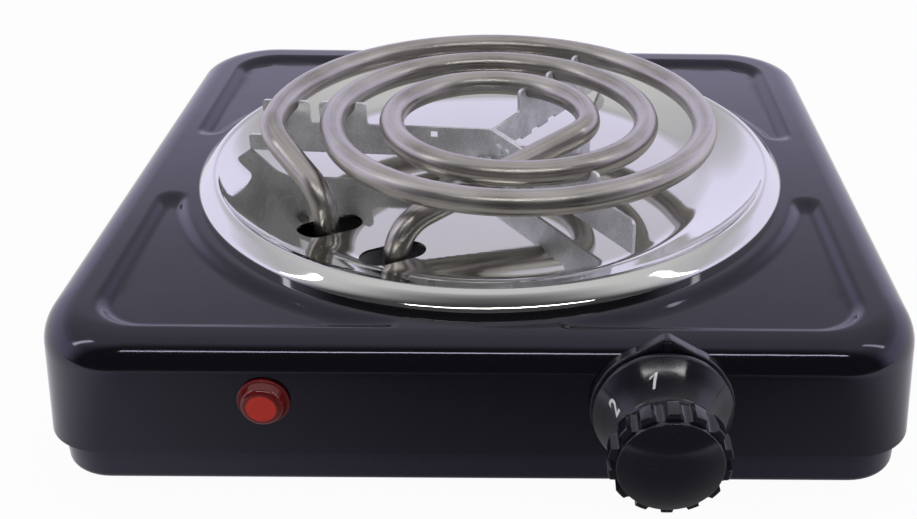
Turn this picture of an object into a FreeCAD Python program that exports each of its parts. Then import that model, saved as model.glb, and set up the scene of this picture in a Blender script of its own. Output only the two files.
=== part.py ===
import FreeCAD, Part
import math
import os

V = FreeCAD.Vector
X, Y, Z = V(1, 0, 0), V(0, 1, 0), V(0, 0, 1)

# A single-coil electric hot plate.  All sizes in millimetres, angles in degrees.
# Everything is modelled about the middle of the housing, with z = 0 on the table,
# X to the right, Y to the back; the last step moves it so that the middle of the
# whole part's bounding box stands over the origin.

# ---- Driving dimensions: body ----
body_width = 226.0
body_depth = 215.2
foot_height = 7.0
base_reveal = 11.0           # height of base pan seen below the skirt
skirt_height = 32.0
corner_radius = 27.0         # upright corners at the top
corner_foot = 17.0           # and at the lower edge of the skirt
top_edge_radius = 9.0
sheet = 0.8                  # housing and base sheet
base_inset = 2.6             # base pan wall inside the skirt's outer face
nest_height = 7.0            # upturned rim of the base pan inside the skirt
nest_gap = 0.1
base_edge_radius = 2.0
vent_length = 34.0
vent_width = 3.2
vent_spacing = 9.0
vent_count = 5
vent_offset = 45.0

# ---- Driving dimensions: recessed top panels ----
panel_margin = 14.5          # sides and back
panel_front_margin = 10.4
panel_depth = 2.2
panel_corner = 14.0
panel_end_radius = 1.9
panel_lip_radius = 1.2
panel_root_radius = 0.9
ring_width = 4.0             # flat ring left between the pan rim and the panels
side_bridge = 44.0
back_bridge = 40.0

# ---- Driving dimensions: drip pan ----
pan_y = -3.1
pan_sheet = 0.7
rim_radius = 90.0
rim_step = 1.6               # upright outer edge of the rim
rim_knee_inset = 2.4
rim_knee = 4.0
ridge_radius = 82.2          # raised ridge inside the rim
ridge_height = 6.0
land_outer = 80.0
land_inner = 70.5            # edge of the bowl
land_rise = 1.1              # land above the housing top
bowl_radius = 68.0
bowl_depth = 4.6
boss_radius = 12.0
boss_foot = 17.0
boss_drop = 1.0              # boss top below the land
opening_radius = 77.0
collar_depth = 6.0
leg_hole_radius = 8.8
leg_hole_shifts = ((0.5, -3.0), (-2.0, 1.5))

# ---- Driving dimensions: heating coil ----
tube_radius = 3.75
coil_pitch = 17.8
outer_turn_radius = 65.5
coil_x = -0.5
coil_y = -7.6
coil_lift = 16.6             # coil centre above the pan's land
half_turns = 5
leg_one_radius = 59.3
leg_one_angle = -142.6
leg_two_radius = 57.0
leg_two_angle = -116.6
leg_end_z = 30.0
leg_bend = 12.0
entry_bend = 20.0
lead_bend = 11.0
leg_one_knee = 11.5          # leg knee below the coil plane
leg_two_knee = 13.5
entry_run = 11.0
lead_run = 7.0
seal_radius = 3.3
seal_length = 3.0
pin_radius = 1.6
pin_length = 8.0

# ---- Driving dimensions: trivet ----
strip = 1.0
arm_angles = (176.0, 60.0, -56.0)
hub_screw_x = -2.6
hub_screw_y = -4.1
hub_reach = 4.0              # screw axis to the bend of the long strip
hub_screw_radius = 1.75
hub_head_radius = 2.8
hub_head_height = 2.2
strip_height = 10.0          # plain part of the arms
tooth_width = 3.4
tooth_rise = 0.6             # teeth end this far above the coil centre
tail_length = 5.5
tail_height = 5.2
plain_arm_length = 73.5
notch_gap = 0.12
lead_gap = 0.4               # saddle round the coil's inner lead
weld_tab = 14.0
hub_tab_width = 13.0         # foot bent from the long strip, under the screw head
hub_tab_depth = 11.0
hub_tab_corner = 2.5
window = 2.2
window_reach = 18.0
slot_count = 3
first_slot = 12.0
slot_pitch = 11.0
foot_slot = 5.0
foot_slot_height = 1.2
rivet_radius = 1.2
rivet_head_radius = 2.1
rivet_head_height = 0.7

# ---- Driving dimensions: inside carriers ----
bridge_z = 36.0
bridge_sheet = 1.2
bridge_span = 150.0
bridge_width = 24.0
bridge_foot = 14.0
spacer_radius = 5.0
clamp_sheet = 1.2
clamp_edge = 8.0
clamp_left_x = -42.0         # clamp screws
clamp_right_x = -16.0
clamp_screw_y = -7.1
clamp_screw_radius = 1.5
nut_across = 6.0
nut_height = 2.8

# ---- Driving dimensions: feet ----
foot_inset = 30.0            # foot axes from the housing's sides
foot_radius = 9.0
foot_draft = 1.2
foot_well_radius = 4.6
foot_web = 2.6
foot_screw_radius = 2.0
foot_head_radius = 3.8
foot_head_height = 2.4
post_width = 14.0
post_flange = 11.0
post_sheet = 1.0

# ---- Driving dimensions: knob and thermostat ----
knob_inset = 67.8            # knob axis from the right side
control_z = 34.7             # height of knob and lamp centres
bezel_radius = 18.0
bezel_depth = 3.0
bezel_peak = 21.0
bezel_peak_width = 19.0
bezel_edge = 0.8
bezel_screw_reach = 11.0
index_width = 1.6            # rib on the bezel's peak that the numbers turn past
index_rise = 0.5
knob_gap = 0.6
knob_reach = 28.6            # dome of the knob in front of the panel
skirt_radius = 17.5
skirt_edge = 1.3
cone_rise = 8.0
cone_knee = 4.2              # part of that rise up to the knee of the flare
cone_knee_radius = 13.4
waist_radius = 10.6
waist_length = 1.5
grip_radius = 12.7
grip_length = 10.6
lobe_count = 14
lobe_tip = 14.7              # outermost radius of the lobes
lobe_flare = 4.0             # length over which they rise from the waist
lobe_step = 1.0              # their front ends stand behind the dome's edge
flute_radius = 1.9           # round grooves between the lobes
flute_reach = 14.6           # groove centres from the knob axis
hub_radius = 5.6
knob_wall = 2.2
shaft_radius = 3.0
shaft_flat = 0.8
shaft_play = 0.05
bush_radius = 4.5
bush_length = 4.0
frame_sheet = 1.2
frame_height = 12.4
frame_right = 16.0
stack_reach = 22.0
stack_radius = 6.0
blade_width = 7.0
blade_sheet = 0.5
blade_overhang = 10.0
tab_step = 7.0                # extra length of the front blade's wiring tab
first_disc = 6.0
second_disc = 4.0
third_disc = 3.0
stack_rivet_radius = 2.0
small_screw_radius = 1.5
small_head_radius = 2.7
small_head_height = 1.6
screw_end = 1.5              # screw ends past what they hold
contact_radius = 1.8
contact_rise = 1.5
blade_one_reach = 9.5
blade_two_reach = 12.0
bush_gap = 1.0
collar_rise = 1.2            # collar on the shaft behind the bush
collar_width = 1.0
collar_gap = 0.3

# ---- Driving dimensions: indicator lamp ----
lamp_inset = 59.9            # lamp axis from the left side
lens_flange_radius = 6.5
lens_flange = 1.2
lens_dome_radius = 6.0
lens_reach = 3.8
lens_barrel_radius = 4.9
lens_barrel = 12.0
lens_wall = 1.0
lamp_hole_gap = 0.1
bulb_radius = 3.0
bulb_length = 13.0
push_nut_radius = 7.0
push_nut_sheet = 0.4
plug_cap = 3.0
bulb_gap = 2.4               # bulb behind the lens face
lens_face = 1.6

# ---- Driving dimensions: cable inlet and wiring ----
inlet_inset = 54.5           # inlet axis from the right side
inlet_z = 34.0
inlet_bore = 3.5              # grips the cable in the nose only
inlet_relief = 4.7            # clear of the cable inside and through the wall
inlet_neck_radius = 6.0
inlet_flange_radius = 7.0
inlet_flange = 1.8
inlet_nose = 8.0
block_inset_x = 64.5
block_inset_y = 32.0
block_pole = 10.0
block_depth = 18.0
block_height = 15.0
pole_count = 4
pole_bore = 2.6
pole_screw_radius = 2.0
pole_screw_length = 3.2
pole_side_step = 2.2         # second wire beside the first in one pole
screw_slot = 0.7
block_shoulder = 3.5
block_groove = 1.2
ear_length = 7.0
ear_width = 9.0
ear_height = 3.0
earth_gap = 8.0              # earth screw beside and in front of the block
earth_reach = 16.0
wire_radius = 1.2
lamp_wire_radius = 0.8
wire_bend = 4.0
wire_lead = 16.0             # straight length at a pole
wire_tail = 17.0             # straight length at a blade
wire_fall = 18.0             # run in which a wire drops from the blade to its level
live_level = 22.0
load_level = 13.0
lamp_level = 9.0

# ---- Places worked out from the driving dimensions ----
base_z = foot_height
floor_z = base_z + sheet
skirt_z = base_z + base_reveal
top_z = skirt_z + skirt_height
front = -body_depth / 2
back = body_depth / 2
foot_x = body_width / 2 - foot_inset
foot_y = body_depth / 2 - foot_inset
knob_x = body_width / 2 - knob_inset
lamp_x = lamp_inset - body_width / 2
inlet_x = body_width / 2 - inlet_inset
block_x = body_width / 2 - block_inset_x
block_y = body_depth / 2 - block_inset_y
land_z = top_z + land_rise
bowl_z = land_z - bowl_depth
boss_z = land_z - boss_drop
coil_z = land_z + coil_lift
body_y = (knob_reach - inlet_nose) / 2
ring_radius = rim_radius + ring_width


# ---- General shapes ----
def polar(radius, angle, centre=V(0, 0, 0)):
    """Point at a radius and an angle in plan."""
    a = math.radians(angle)
    return centre + V(radius * math.cos(a), radius * math.sin(a), 0)


def rounding(before, at, after, radius):
    """Start, middle and end of the tangent arc that rounds one corner."""
    a = (before - at).normalize()
    b = (after - at).normalize()
    half = a.getAngle(b) / 2
    reach = radius / math.tan(half)
    inward = (a + b).normalize()
    middle = at + inward * (radius / math.sin(half) - radius)
    return at + a * reach, middle, at + b * reach


def bent_path(points):
    """Edges along (point, bend radius) pairs; the first and last radius are not used."""
    edges = []
    last = points[0][0]
    for i in range(1, len(points) - 1):
        start, middle, end = rounding(points[i - 1][0], points[i][0], points[i + 1][0], points[i][1])
        if (start - last).Length > 1e-6:
            edges.append(Part.makeLine(last, start))
        edges.append(Part.Arc(start, middle, end).toShape())
        last = end
    if (points[-1][0] - last).Length > 1e-6:
        edges.append(Part.makeLine(last, points[-1][0]))
    return edges


def loop(points, place):
    """Closed wire through (u, v, corner) points, put in space by place(u, v).
    A positive corner is its radius, a negative one the length of its chamfer."""
    spots = [place(u, v) for u, v, r in points]
    count = len(points)
    edges = []
    ends = []
    for i in range(count):
        radius = points[i][2]
        if radius > 0:
            start, middle, end = rounding(spots[i - 1], spots[i], spots[(i + 1) % count], radius)
            edges.append(Part.Arc(start, middle, end).toShape())
            ends.append((start, end))
        elif radius < 0:
            before = (spots[i - 1] - spots[i]).normalize()
            after = (spots[(i + 1) % count] - spots[i]).normalize()
            start = spots[i] - before * radius
            end = spots[i] - after * radius
            edges.append(Part.makeLine(start, end))
            ends.append((start, end))
        else:
            ends.append((spots[i], spots[i]))
    for i in range(count):
        a = ends[i][1]
        b = ends[(i + 1) % count][0]
        if (b - a).Length > 1e-6:
            edges.append(Part.makeLine(a, b))
    return Part.Wire(Part.__sortEdges__(edges))


def sheet_loop(points, thickness):
    """Section of a bent sheet: the chain of (u, v, bend radius) and its copy to the left."""
    far = []
    for i, (u, v, radius) in enumerate(points):
        u0, v0 = points[max(i - 1, 0)][:2]
        u2, v2 = points[min(i + 1, len(points) - 1)][:2]
        into = V(u - u0, v - v0, 0) if i > 0 else V(u2 - u, v2 - v, 0)
        out = V(u2 - u, v2 - v, 0) if i < len(points) - 1 else V(u - u0, v - v0, 0)
        into.normalize()
        out.normalize()
        left = V(-into.y - out.y, into.x + out.x, 0) * (thickness / (1 + into.dot(out)))
        turn = into.x * out.y - into.y * out.x
        bend = 0 if radius == 0 else radius - math.copysign(thickness, turn)
        far.append((u + left.x, v + left.y, max(bend, 0)))
    return points + far[::-1]


def in_plan(z):
    return lambda u, v: V(u, v, z)


def prism(points, z_low, z_high):
    """Straight solid over a plan outline."""
    return Part.Face(loop(points, in_plan(z_low))).extrude(Z * (z_high - z_low))


def turned(points, centre, axis):
    """Solid of revolution from (radius, distance along the axis) points."""
    across = X if abs(axis.z) > 0.5 else Z
    section = Part.Face(loop(points, lambda r, d: centre + across * r + axis * d))
    return section.revolve(centre, axis, 360)


def rounded_block(width, depth, radius, z_low, z_high, x=0.0, y=0.0):
    """Block with rounded upright edges."""
    w, d = width / 2, depth / 2
    corners = [(x - w, y - d, radius), (x + w, y - d, radius), (x + w, y + d, radius),
               (x - w, y + d, radius)]
    return prism(corners, z_low, z_high)


def level_edges(shape, z):
    """Edges of a shape that lie in one level plane."""
    return [e for e in shape.Edges if all(abs(v.Z - z) < 1e-4 for v in e.Vertexes)
            and abs(e.valueAt((e.FirstParameter + e.LastParameter) / 2).z - z) < 1e-4]


def tube(edges, radius):
    """Round bar swept along tangent edges."""
    path = Part.Wire(edges)
    start = edges[0].valueAt(edges[0].FirstParameter)
    along = edges[0].tangentAt(edges[0].FirstParameter)
    ring = Part.Wire([Part.makeCircle(radius, start, along)])
    return path.makePipeShell([ring], True, False)


def fuse(*pieces):
    whole = pieces[0].multiFuse(list(pieces[1:])) if len(pieces) > 1 else pieces[0]
    return whole.removeSplitter()


def cut(shape, *tools):
    return shape.cut(Part.makeCompound(list(tools)))


def hexagon(across, z_low, z_high, centre):
    """Hexagonal prism with its axis upright."""
    corner = across / math.sqrt(3)
    points = [polar(corner, 60 * i, centre) for i in range(6)]
    return prism([(p.x, p.y, 0) for p in points], z_low, z_high)


# ---- Pressed housing with a hole for the pan and four recessed panels ----
def panel_faces(grow):
    """The four recessed panels of the top, in plan, each grown by an offset."""
    width = body_width - 2 * panel_margin
    depth = body_depth - panel_margin - panel_front_margin
    field = rounded_block(width, depth, panel_corner, 0, 1, 0, (panel_front_margin - panel_margin) / 2)
    ring = Part.makeCylinder(ring_radius, 3, V(0, pan_y, -1))
    across = Part.makeBox(body_width, side_bridge, 3, V(-body_width / 2, pan_y - side_bridge / 2, -1))
    along = Part.makeBox(back_bridge, body_depth, 3, V(-back_bridge / 2, -body_depth / 2, -1))
    corners = cut(field, ring, across, along)
    faces = [f for f in corners.Faces if abs(f.CenterOfMass.z) < 1e-6]
    return [f.makeOffset2D(-panel_end_radius).makeOffset2D(panel_end_radius + grow) for f in faces]


def skirt_outline(inset, z):
    """Outline of the housing at one height; its corners widen towards the top."""
    share = (z - skirt_z) / skirt_height
    radius = corner_foot + (corner_radius - corner_foot) * share - inset
    w, d = body_width / 2 - inset, body_depth / 2 - inset
    return loop([(-w, -d, radius), (w, -d, radius), (w, d, radius), (-w, d, radius)], in_plan(z))


def skirt_block(inset, z_low, z_high):
    return Part.makeLoft([skirt_outline(inset, z_low), skirt_outline(inset, z_high)], True, True)


def housing_form(inset, z_low):
    """Outer form of the housing, shrunk by an inset on every side."""
    top = top_z - inset
    form = skirt_block(inset, z_low, top)
    form = form.makeFillet(top_edge_radius - inset, level_edges(form, top))
    for face in panel_faces(inset):
        recess = face.extrude(Z * (panel_depth + 1))
        recess.translate(V(0, 0, top - panel_depth))
        form = form.cut(recess)
    return form


def make_housing():
    form = housing_form(0, skirt_z)
    lips = [e for e in level_edges(form, top_z) if inside_panels(e)]
    form = form.makeFillet(panel_lip_radius, lips)
    form = form.makeFillet(panel_root_radius, level_edges(form, top_z - panel_depth))
    shell = form.cut(housing_form(sheet, skirt_z - 1))
    collar = turned([(opening_radius, top_z - collar_depth, 0),
                     (opening_radius + sheet, top_z - collar_depth, 0),
                     (opening_radius + sheet, top_z - sheet, 0), (opening_radius, top_z - sheet, 0)],
                    V(0, pan_y, 0), Z)
    shell = cut(shell, Part.makeCylinder(opening_radius, 10, V(0, pan_y, top_z - 5)))
    shell = fuse(shell, collar)
    through = sheet + 2
    holes = [Part.makeCylinder(lens_barrel_radius + lamp_hole_gap, through,
                               V(lamp_x, front - 1, control_z), Y),
             Part.makeCylinder(bush_radius + bush_gap, through, V(knob_x, front - 1, control_z), Y),
             Part.makeCylinder(inlet_neck_radius, through, V(inlet_x, back - sheet - 1, inlet_z), Y)]
    for side in (-1, 1):
        place = V(knob_x + side * bezel_screw_reach, front - 1, control_z)
        holes.append(Part.makeCylinder(small_screw_radius, through, place, Y))
    return cut(shell, *holes)


def inside_panels(edge):
    """True for an edge of a panel, false for the outer edge of the top."""
    middle = edge.valueAt((edge.FirstParameter + edge.LastParameter) / 2)
    limit = (top_edge_radius + panel_front_margin) / 2
    return abs(middle.x) < body_width / 2 - limit and abs(middle.y) < body_depth / 2 - limit


# ---- Base pan that nests in the skirt ----
def base_level(inset, z_low, z_high):
    return rounded_block(body_width - 2 * inset, body_depth - 2 * inset, corner_foot - inset, z_low, z_high)


def make_base():
    nest = sheet + nest_gap
    lower = base_level(base_inset, base_z, skirt_z + sheet)
    lower = lower.makeFillet(base_edge_radius, level_edges(lower, base_z))
    hollow = base_level(base_inset + sheet, floor_z, skirt_z + nest_height + 1)
    hollow = hollow.makeFillet(base_edge_radius - sheet, level_edges(hollow, floor_z))
    upper = skirt_block(nest, skirt_z, skirt_z + nest_height)
    upper_hollow = skirt_block(nest + sheet, skirt_z + sheet, skirt_z + nest_height + 1)
    pan = cut(lower.fuse(upper), hollow, upper_hollow).removeSplitter()
    holes = [Part.makeCylinder(foot_screw_radius, 4, V(x, y, base_z - 1)) for x, y in foot_places()]
    for x, y in bridge_rivet_places():
        holes.append(Part.makeCylinder(rivet_radius, 4, V(x, y, base_z - 1)))
    earth = earth_place()
    holes.append(Part.makeCylinder(small_screw_radius, 4, V(earth.x, earth.y, base_z - 1)))
    for x, y in block_screw_places():
        holes.append(Part.makeCylinder(small_screw_radius, 4, V(x, y, base_z - 1)))
    for side in (-1, 1):
        for i in range(vent_count):
            y = side * vent_offset + (i - (vent_count - 1) / 2) * vent_spacing
            holes.append(rounded_block(vent_length, vent_width, vent_width / 2 - 0.01, base_z - 1,
                                       floor_z + 1, 0, y))
    return cut(pan, *holes)


def foot_places():
    return [(sx * foot_x, sy * foot_y) for sy in (-1, 1) for sx in (-1, 1)]


# ---- Feet with their screws, and the posts that tie the base to the housing ----
def make_foot(x, y):
    return turned([(foot_screw_radius, foot_height, 0), (foot_radius - foot_draft, foot_height, -0.6),
                   (foot_radius, 0, -0.8), (foot_well_radius, 0, 0),
                   (foot_well_radius, foot_height - foot_web, 0),
                   (foot_screw_radius, foot_height - foot_web, 0)],
                  V(x, y, 0), Z)


def make_foot_screw(x, y):
    seat = foot_height - foot_web
    head = turned([(0, seat - foot_head_height, 0), (foot_head_radius, seat - foot_head_height, -0.8),
                   (foot_head_radius, seat, 0), (0, seat, 0)], V(x, y, 0), Z)
    shank = Part.makeCylinder(foot_screw_radius, floor_z + post_sheet + 2 * screw_end - seat, V(x, y, seat))
    return fuse(head, shank)


def make_post(x, y):
    """C-shaped strip from the base floor to the underside of a top panel."""
    top = top_z - panel_depth - sheet
    outward = math.copysign(1, x)
    chain = [(-post_flange / 2, floor_z, 0), (post_flange / 2, floor_z, 2.0),
             (post_flange / 2, top, 2.0), (-post_flange / 2, top, 0)]
    section = Part.Face(loop(sheet_loop(chain, post_sheet),
                             lambda u, v: V(x + outward * u, y - post_width / 2, v)))
    post = section.extrude(Y * post_width)
    return cut(post, Part.makeCylinder(foot_screw_radius, 4, V(x, y, floor_z - 1)))


# ---- Drip pan ----
def leg_place(radius, angle):
    return polar(radius, angle, V(0, pan_y, 0))


leg_one = leg_place(leg_one_radius, leg_one_angle)
leg_two = leg_place(leg_two_radius, leg_two_angle)


def make_pan():
    chain = [(rim_radius, top_z, 0), (rim_radius, top_z + rim_step, 1.2),
             (rim_radius - rim_knee_inset, top_z + rim_knee, 6.0),
             (ridge_radius, top_z + ridge_height, 2.2),
             (land_outer, land_z, 1.4),
             (land_inner, land_z, 1.6), (bowl_radius, bowl_z, 2.2), (boss_foot, bowl_z, 3.0),
             (boss_radius, boss_z, 2.0), (0, boss_z, 0)]
    pan = turned(sheet_loop(chain, pan_sheet), V(0, pan_y, 0), Z)
    holes = [Part.makeCylinder(leg_hole_radius, 12, V(leg.x + dx, leg.y + dy, bowl_z - 6))
             for leg, (dx, dy) in zip((leg_one, leg_two), leg_hole_shifts)]
    holes.append(Part.makeCylinder(hub_screw_radius, 12, V(hub_screw_x, hub_screw_y, boss_z - 6)))
    return cut(pan, *holes)


# ---- Heating coil: half-turns about two centres, and two bent legs ----
def half_turn(index):
    """Centre, radius and side (1 back, -1 front) of one half-turn, counted inwards."""
    side = 1 if index % 2 == 0 else -1
    shift = 0 if side == 1 else coil_pitch / 2
    return V(coil_x + shift, coil_y, coil_z), outer_turn_radius - index * coil_pitch / 2, side


def entry_edges():
    """First leg, up and round into the outer turn."""
    centre, radius, side = half_turn(0)
    start = centre - X * radius
    knee = V(leg_one.x, leg_one.y, coil_z - leg_one_knee)
    return bent_path([(V(leg_one.x, leg_one.y, leg_end_z), 0), (knee, leg_bend),
                      (start - Y * entry_run, entry_bend), (start, 0)])


def turn_edges():
    edges = []
    for i in range(half_turns):
        centre, radius, side = half_turn(i)
        first = centre - X * radius * side
        last = centre + X * radius * side
        edges.append(Part.Arc(first, centre + Y * radius * side, last).toShape())
    return edges


def lead_edges():
    """From the inner turn, under the outer ones and down as the second leg."""
    centre, radius, side = half_turn(half_turns - 1)
    last = centre + X * radius * side
    knee = V(leg_two.x, leg_two.y, coil_z - leg_two_knee)
    return bent_path([(last, 0), (last - Y * lead_run, lead_bend), (knee, leg_bend),
                      (V(leg_two.x, leg_two.y, leg_end_z), 0)])


def make_coil():
    return tube(entry_edges() + turn_edges() + lead_edges(), tube_radius)


def make_seal(leg):
    return turned([(pin_radius, leg_end_z - seal_length, 0), (seal_radius, leg_end_z - seal_length, -0.6),
                   (seal_radius, leg_end_z, 0), (pin_radius, leg_end_z, 0)], V(leg.x, leg.y, 0), Z)


def make_pin(leg):
    return Part.makeCylinder(pin_radius, pin_length + seal_length,
                             V(leg.x, leg.y, leg_end_z - seal_length - pin_length))


# ---- Trivet: two bent strips riveted at the hub ----
screw_axis = V(hub_screw_x, hub_screw_y, 0)
gap_middle = (arm_angles[0] + arm_angles[2] + 360) / 2
hub = polar(hub_reach, gap_middle + 180, screw_axis)
strip_low = land_z
strip_top = strip_low + strip_height
notch_z = coil_z - tube_radius


def crossing(start, angle, index):
    """Distance along an arm to a half-turn, and the half width of the notch there."""
    centre, radius, side = half_turn(index)
    along = polar(1, angle)
    away = V(start.x - centre.x, start.y - centre.y, 0)
    b = away.dot(along)
    reach = -b + math.sqrt(b * b - away.dot(away) + radius * radius)
    outward = (start + along * reach - V(centre.x, centre.y, 0)).normalize()
    return reach, (tube_radius + strip * 0.15) / abs(outward.dot(along)) + notch_gap


def arm_outline(notches, length, slots):
    """Side outline of an arm: teeth on both sides of every notch, then the tail."""
    tooth_top = coil_z + tooth_rise
    points = [(0, strip_low, 0)]
    for i in range(slots):
        start = first_slot + i * slot_pitch
        points += [(start, strip_low, 0), (start, strip_low + foot_slot_height, 0),
                   (start + foot_slot, strip_low + foot_slot_height, 0), (start + foot_slot, strip_low, 0)]
    points.append((length, strip_low, 0))
    beside = strip_low + tail_height if slots or len(notches) > 1 else strip_top
    points.append((length, beside, 1.0 if beside < strip_top else 2.0))
    for reach, half in reversed(notches):
        outer = reach + half
        inner = reach - half
        root = half - 0.02
        points += [(outer + tooth_width, beside, 1.2), (outer + tooth_width, tooth_top, 1.5),
                   (outer, tooth_top, 0.6), (outer, notch_z, root), (inner, notch_z, root),
                   (inner, tooth_top, 0.6), (inner - tooth_width, tooth_top, 1.5)]
        beside = strip_top
        points.append((inner - tooth_width, beside, 1.2))
    points.append((0, strip_top, 0))
    return points


def make_arm(start, angle, notches, length, slots=0):
    along = polar(1, angle)
    across = polar(1, angle + 90)
    outline = loop(arm_outline(notches, length, slots), lambda s,
                   z: start - across * (strip / 2) + along * s + Z * z)
    return Part.Face(outline).extrude(across * strip)


def bend_rod(place):
    return Part.makeCylinder(strip / 2, strip_height, V(place.x, place.y, strip_low))


back_strip_hub = hub + polar(strip, arm_angles[2] + 90)


def rivet_axes():
    """Places on the hub where the two strips are riveted together."""
    along = polar(1, arm_angles[2])
    return [hub + along * (weld_tab * share) + Z * (strip_low + strip_height / 2) for share in (0.4, 0.75)]


def rivet_holes():
    across = polar(1, arm_angles[2] + 90)
    return [Part.makeCylinder(rivet_radius, 6 * strip, place - across * 3 * strip,
                              across) for place in rivet_axes()]


def make_long_strip():
    left = [crossing(hub, arm_angles[0], i) for i in (2, 0)]
    right = [crossing(hub, arm_angles[2], 3)]
    tail = left[-1][0] + left[-1][1] + tooth_width + tail_length
    left_arm = make_arm(hub, arm_angles[0], left, tail)
    right_arm = make_arm(hub, arm_angles[2], right, plain_arm_length)
    tab = rounded_block(hub_tab_width, hub_tab_depth, hub_tab_corner, boss_z, strip_low,
                        screw_axis.x - strip, screw_axis.y + strip)
    whole = fuse(left_arm, right_arm, bend_rod(hub), tab)
    look = polar(window_reach, arm_angles[0], hub)
    opening = Part.makeBox(window, 6, window, V(look.x - window / 2, look.y - 3, strip_top - 1.6 * window))
    screw_hole = Part.makeCylinder(hub_screw_radius, 4, V(screw_axis.x, screw_axis.y, boss_z - 1))
    saddle = tube(lead_edges(), tube_radius + lead_gap)
    return cut(whole, opening, screw_hole, saddle, *rivet_holes())


def make_short_strip():
    notches = [crossing(back_strip_hub, arm_angles[1], i) for i in (4, 2, 0)]
    tail = notches[-1][0] + notches[-1][1] + tooth_width + tail_length
    arm = make_arm(back_strip_hub, arm_angles[1], notches, tail, slot_count)
    along = polar(1, arm_angles[2])
    across = polar(1, arm_angles[2] + 90)
    tab = Part.Face(loop([(0, strip_low, 0), (weld_tab, strip_low, 1.5), (weld_tab, strip_top, 1.5),
                          (0, strip_top, 0)],
                         lambda s, z: back_strip_hub - across * (strip / 2) + along * s + Z * z))
    return cut(fuse(arm, tab.extrude(across * strip), bend_rod(back_strip_hub)), *rivet_holes())


def make_hub_rivet(place):
    """Rivet through both strips, with a head on each side."""
    across = polar(1, arm_angles[2] + 90)
    low = -strip / 2
    high = strip * 1.5
    return turned([(0, low - rivet_head_height, 0), (rivet_head_radius, low - rivet_head_height, -0.4),
                   (rivet_head_radius, low, 0), (rivet_radius, low, 0), (rivet_radius, high, 0),
                   (rivet_head_radius, high, 0), (rivet_head_radius, high + rivet_head_height, -0.4),
                   (0, high + rivet_head_height, 0)], place, across)


# ---- Bridge under the pan, centre screw, and the plate that holds the coil's legs ----
def bridge_rivet_places():
    reach = bridge_span / 2 + bridge_foot * 0.55
    return [(sx * reach, screw_axis.y + sy * bridge_width / 4) for sx in (-1, 1) for sy in (-1, 1)]


def clamp_corners():
    return [V(x, clamp_screw_y, 0) for x in (clamp_left_x, clamp_right_x)]


def make_bridge():
    half = bridge_span / 2
    chain = [(-half - bridge_foot, floor_z + bridge_sheet, 0), (-half, floor_z + bridge_sheet, 1.2),
             (-half, bridge_z, 3.0), (half, bridge_z, 3.0), (half, floor_z + bridge_sheet, 1.2),
             (half + bridge_foot, floor_z + bridge_sheet, 0)]
    section = sheet_loop(chain[::-1], bridge_sheet)
    face = Part.Face(loop(section, lambda u, v: V(u, screw_axis.y - bridge_width / 2, v)))
    bridge = face.extrude(Y * bridge_width)
    holes = [Part.makeCylinder(hub_screw_radius, 6, V(screw_axis.x, screw_axis.y, bridge_z - 4))]
    for x, y in bridge_rivet_places():
        holes.append(Part.makeCylinder(rivet_radius, 6, V(x, y, floor_z - 2)))
    for corner in clamp_corners():
        holes.append(Part.makeCylinder(clamp_screw_radius, 6, V(corner.x, corner.y, bridge_z - 4)))
    return cut(bridge, *holes)


def make_bridge_rivet(x, y):
    low = base_z
    high = floor_z + bridge_sheet
    return turned([(0, low - rivet_head_height, 0), (rivet_head_radius, low - rivet_head_height, -0.4),
                   (rivet_head_radius, low, 0), (rivet_radius, low, 0), (rivet_radius, high, 0),
                   (rivet_head_radius, high, 0), (rivet_head_radius, high + rivet_head_height, -0.4),
                   (0, high + rivet_head_height, 0)], V(x, y, 0), Z)


def make_centre_screw():
    head_z = strip_low
    end_z = bridge_z - bridge_sheet - nut_height - screw_end
    head = turned([(0, head_z, 0), (hub_head_radius, head_z, 0),
                   (hub_head_radius, head_z + hub_head_height, 1.4),
                   (0, head_z + hub_head_height, 0)], screw_axis, Z)
    shank = Part.makeCylinder(hub_screw_radius, head_z - end_z, V(screw_axis.x, screw_axis.y, end_z))
    return fuse(head, shank)


def make_centre_nut():
    high = bridge_z - bridge_sheet
    nut = hexagon(nut_across, high - nut_height, high, screw_axis)
    return cut(nut, Part.makeCylinder(hub_screw_radius, 9, V(screw_axis.x, screw_axis.y, high - 6)))


def make_spacer():
    low, high = bridge_z, boss_z - pan_sheet
    return turned([(hub_screw_radius, low, 0), (spacer_radius, low, 0), (spacer_radius, high, 0),
                   (hub_screw_radius, high, 0)], screw_axis, Z)


def make_clamp_plate():
    """Plate swaged round both legs and screwed to the bridge."""
    corners = [leg_one, leg_two] + clamp_corners()[::-1]
    outline = Part.makePolygon([V(c.x, c.y, bridge_z) for c in corners] + [V(leg_one.x, leg_one.y,
                                                                             bridge_z)])
    plate = Part.Face(outline).makeOffset2D(clamp_edge).extrude(Z * clamp_sheet)
    holes = [Part.makeCylinder(tube_radius, 9, V(leg.x, leg.y, bridge_z - 4)) for leg in (leg_one, leg_two)]
    for corner in clamp_corners():
        holes.append(Part.makeCylinder(clamp_screw_radius, 9, V(corner.x, corner.y, bridge_z - 4)))
    spacer = Part.makeCylinder(spacer_radius + 1, 9, V(screw_axis.x, screw_axis.y, bridge_z - 4))
    return cut(plate, spacer, *holes)


def make_clamp_screw(corner):
    low = bridge_z - bridge_sheet - screw_end
    seat = bridge_z + clamp_sheet
    head = turned([(0, seat, 0), (small_head_radius, seat, 0),
                   (small_head_radius, seat + small_head_height, -0.6),
                   (0, seat + small_head_height, 0)], V(corner.x, corner.y, 0), Z)
    shank = Part.makeCylinder(clamp_screw_radius, seat - low, V(corner.x, corner.y, low))
    return fuse(head, shank)


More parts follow.
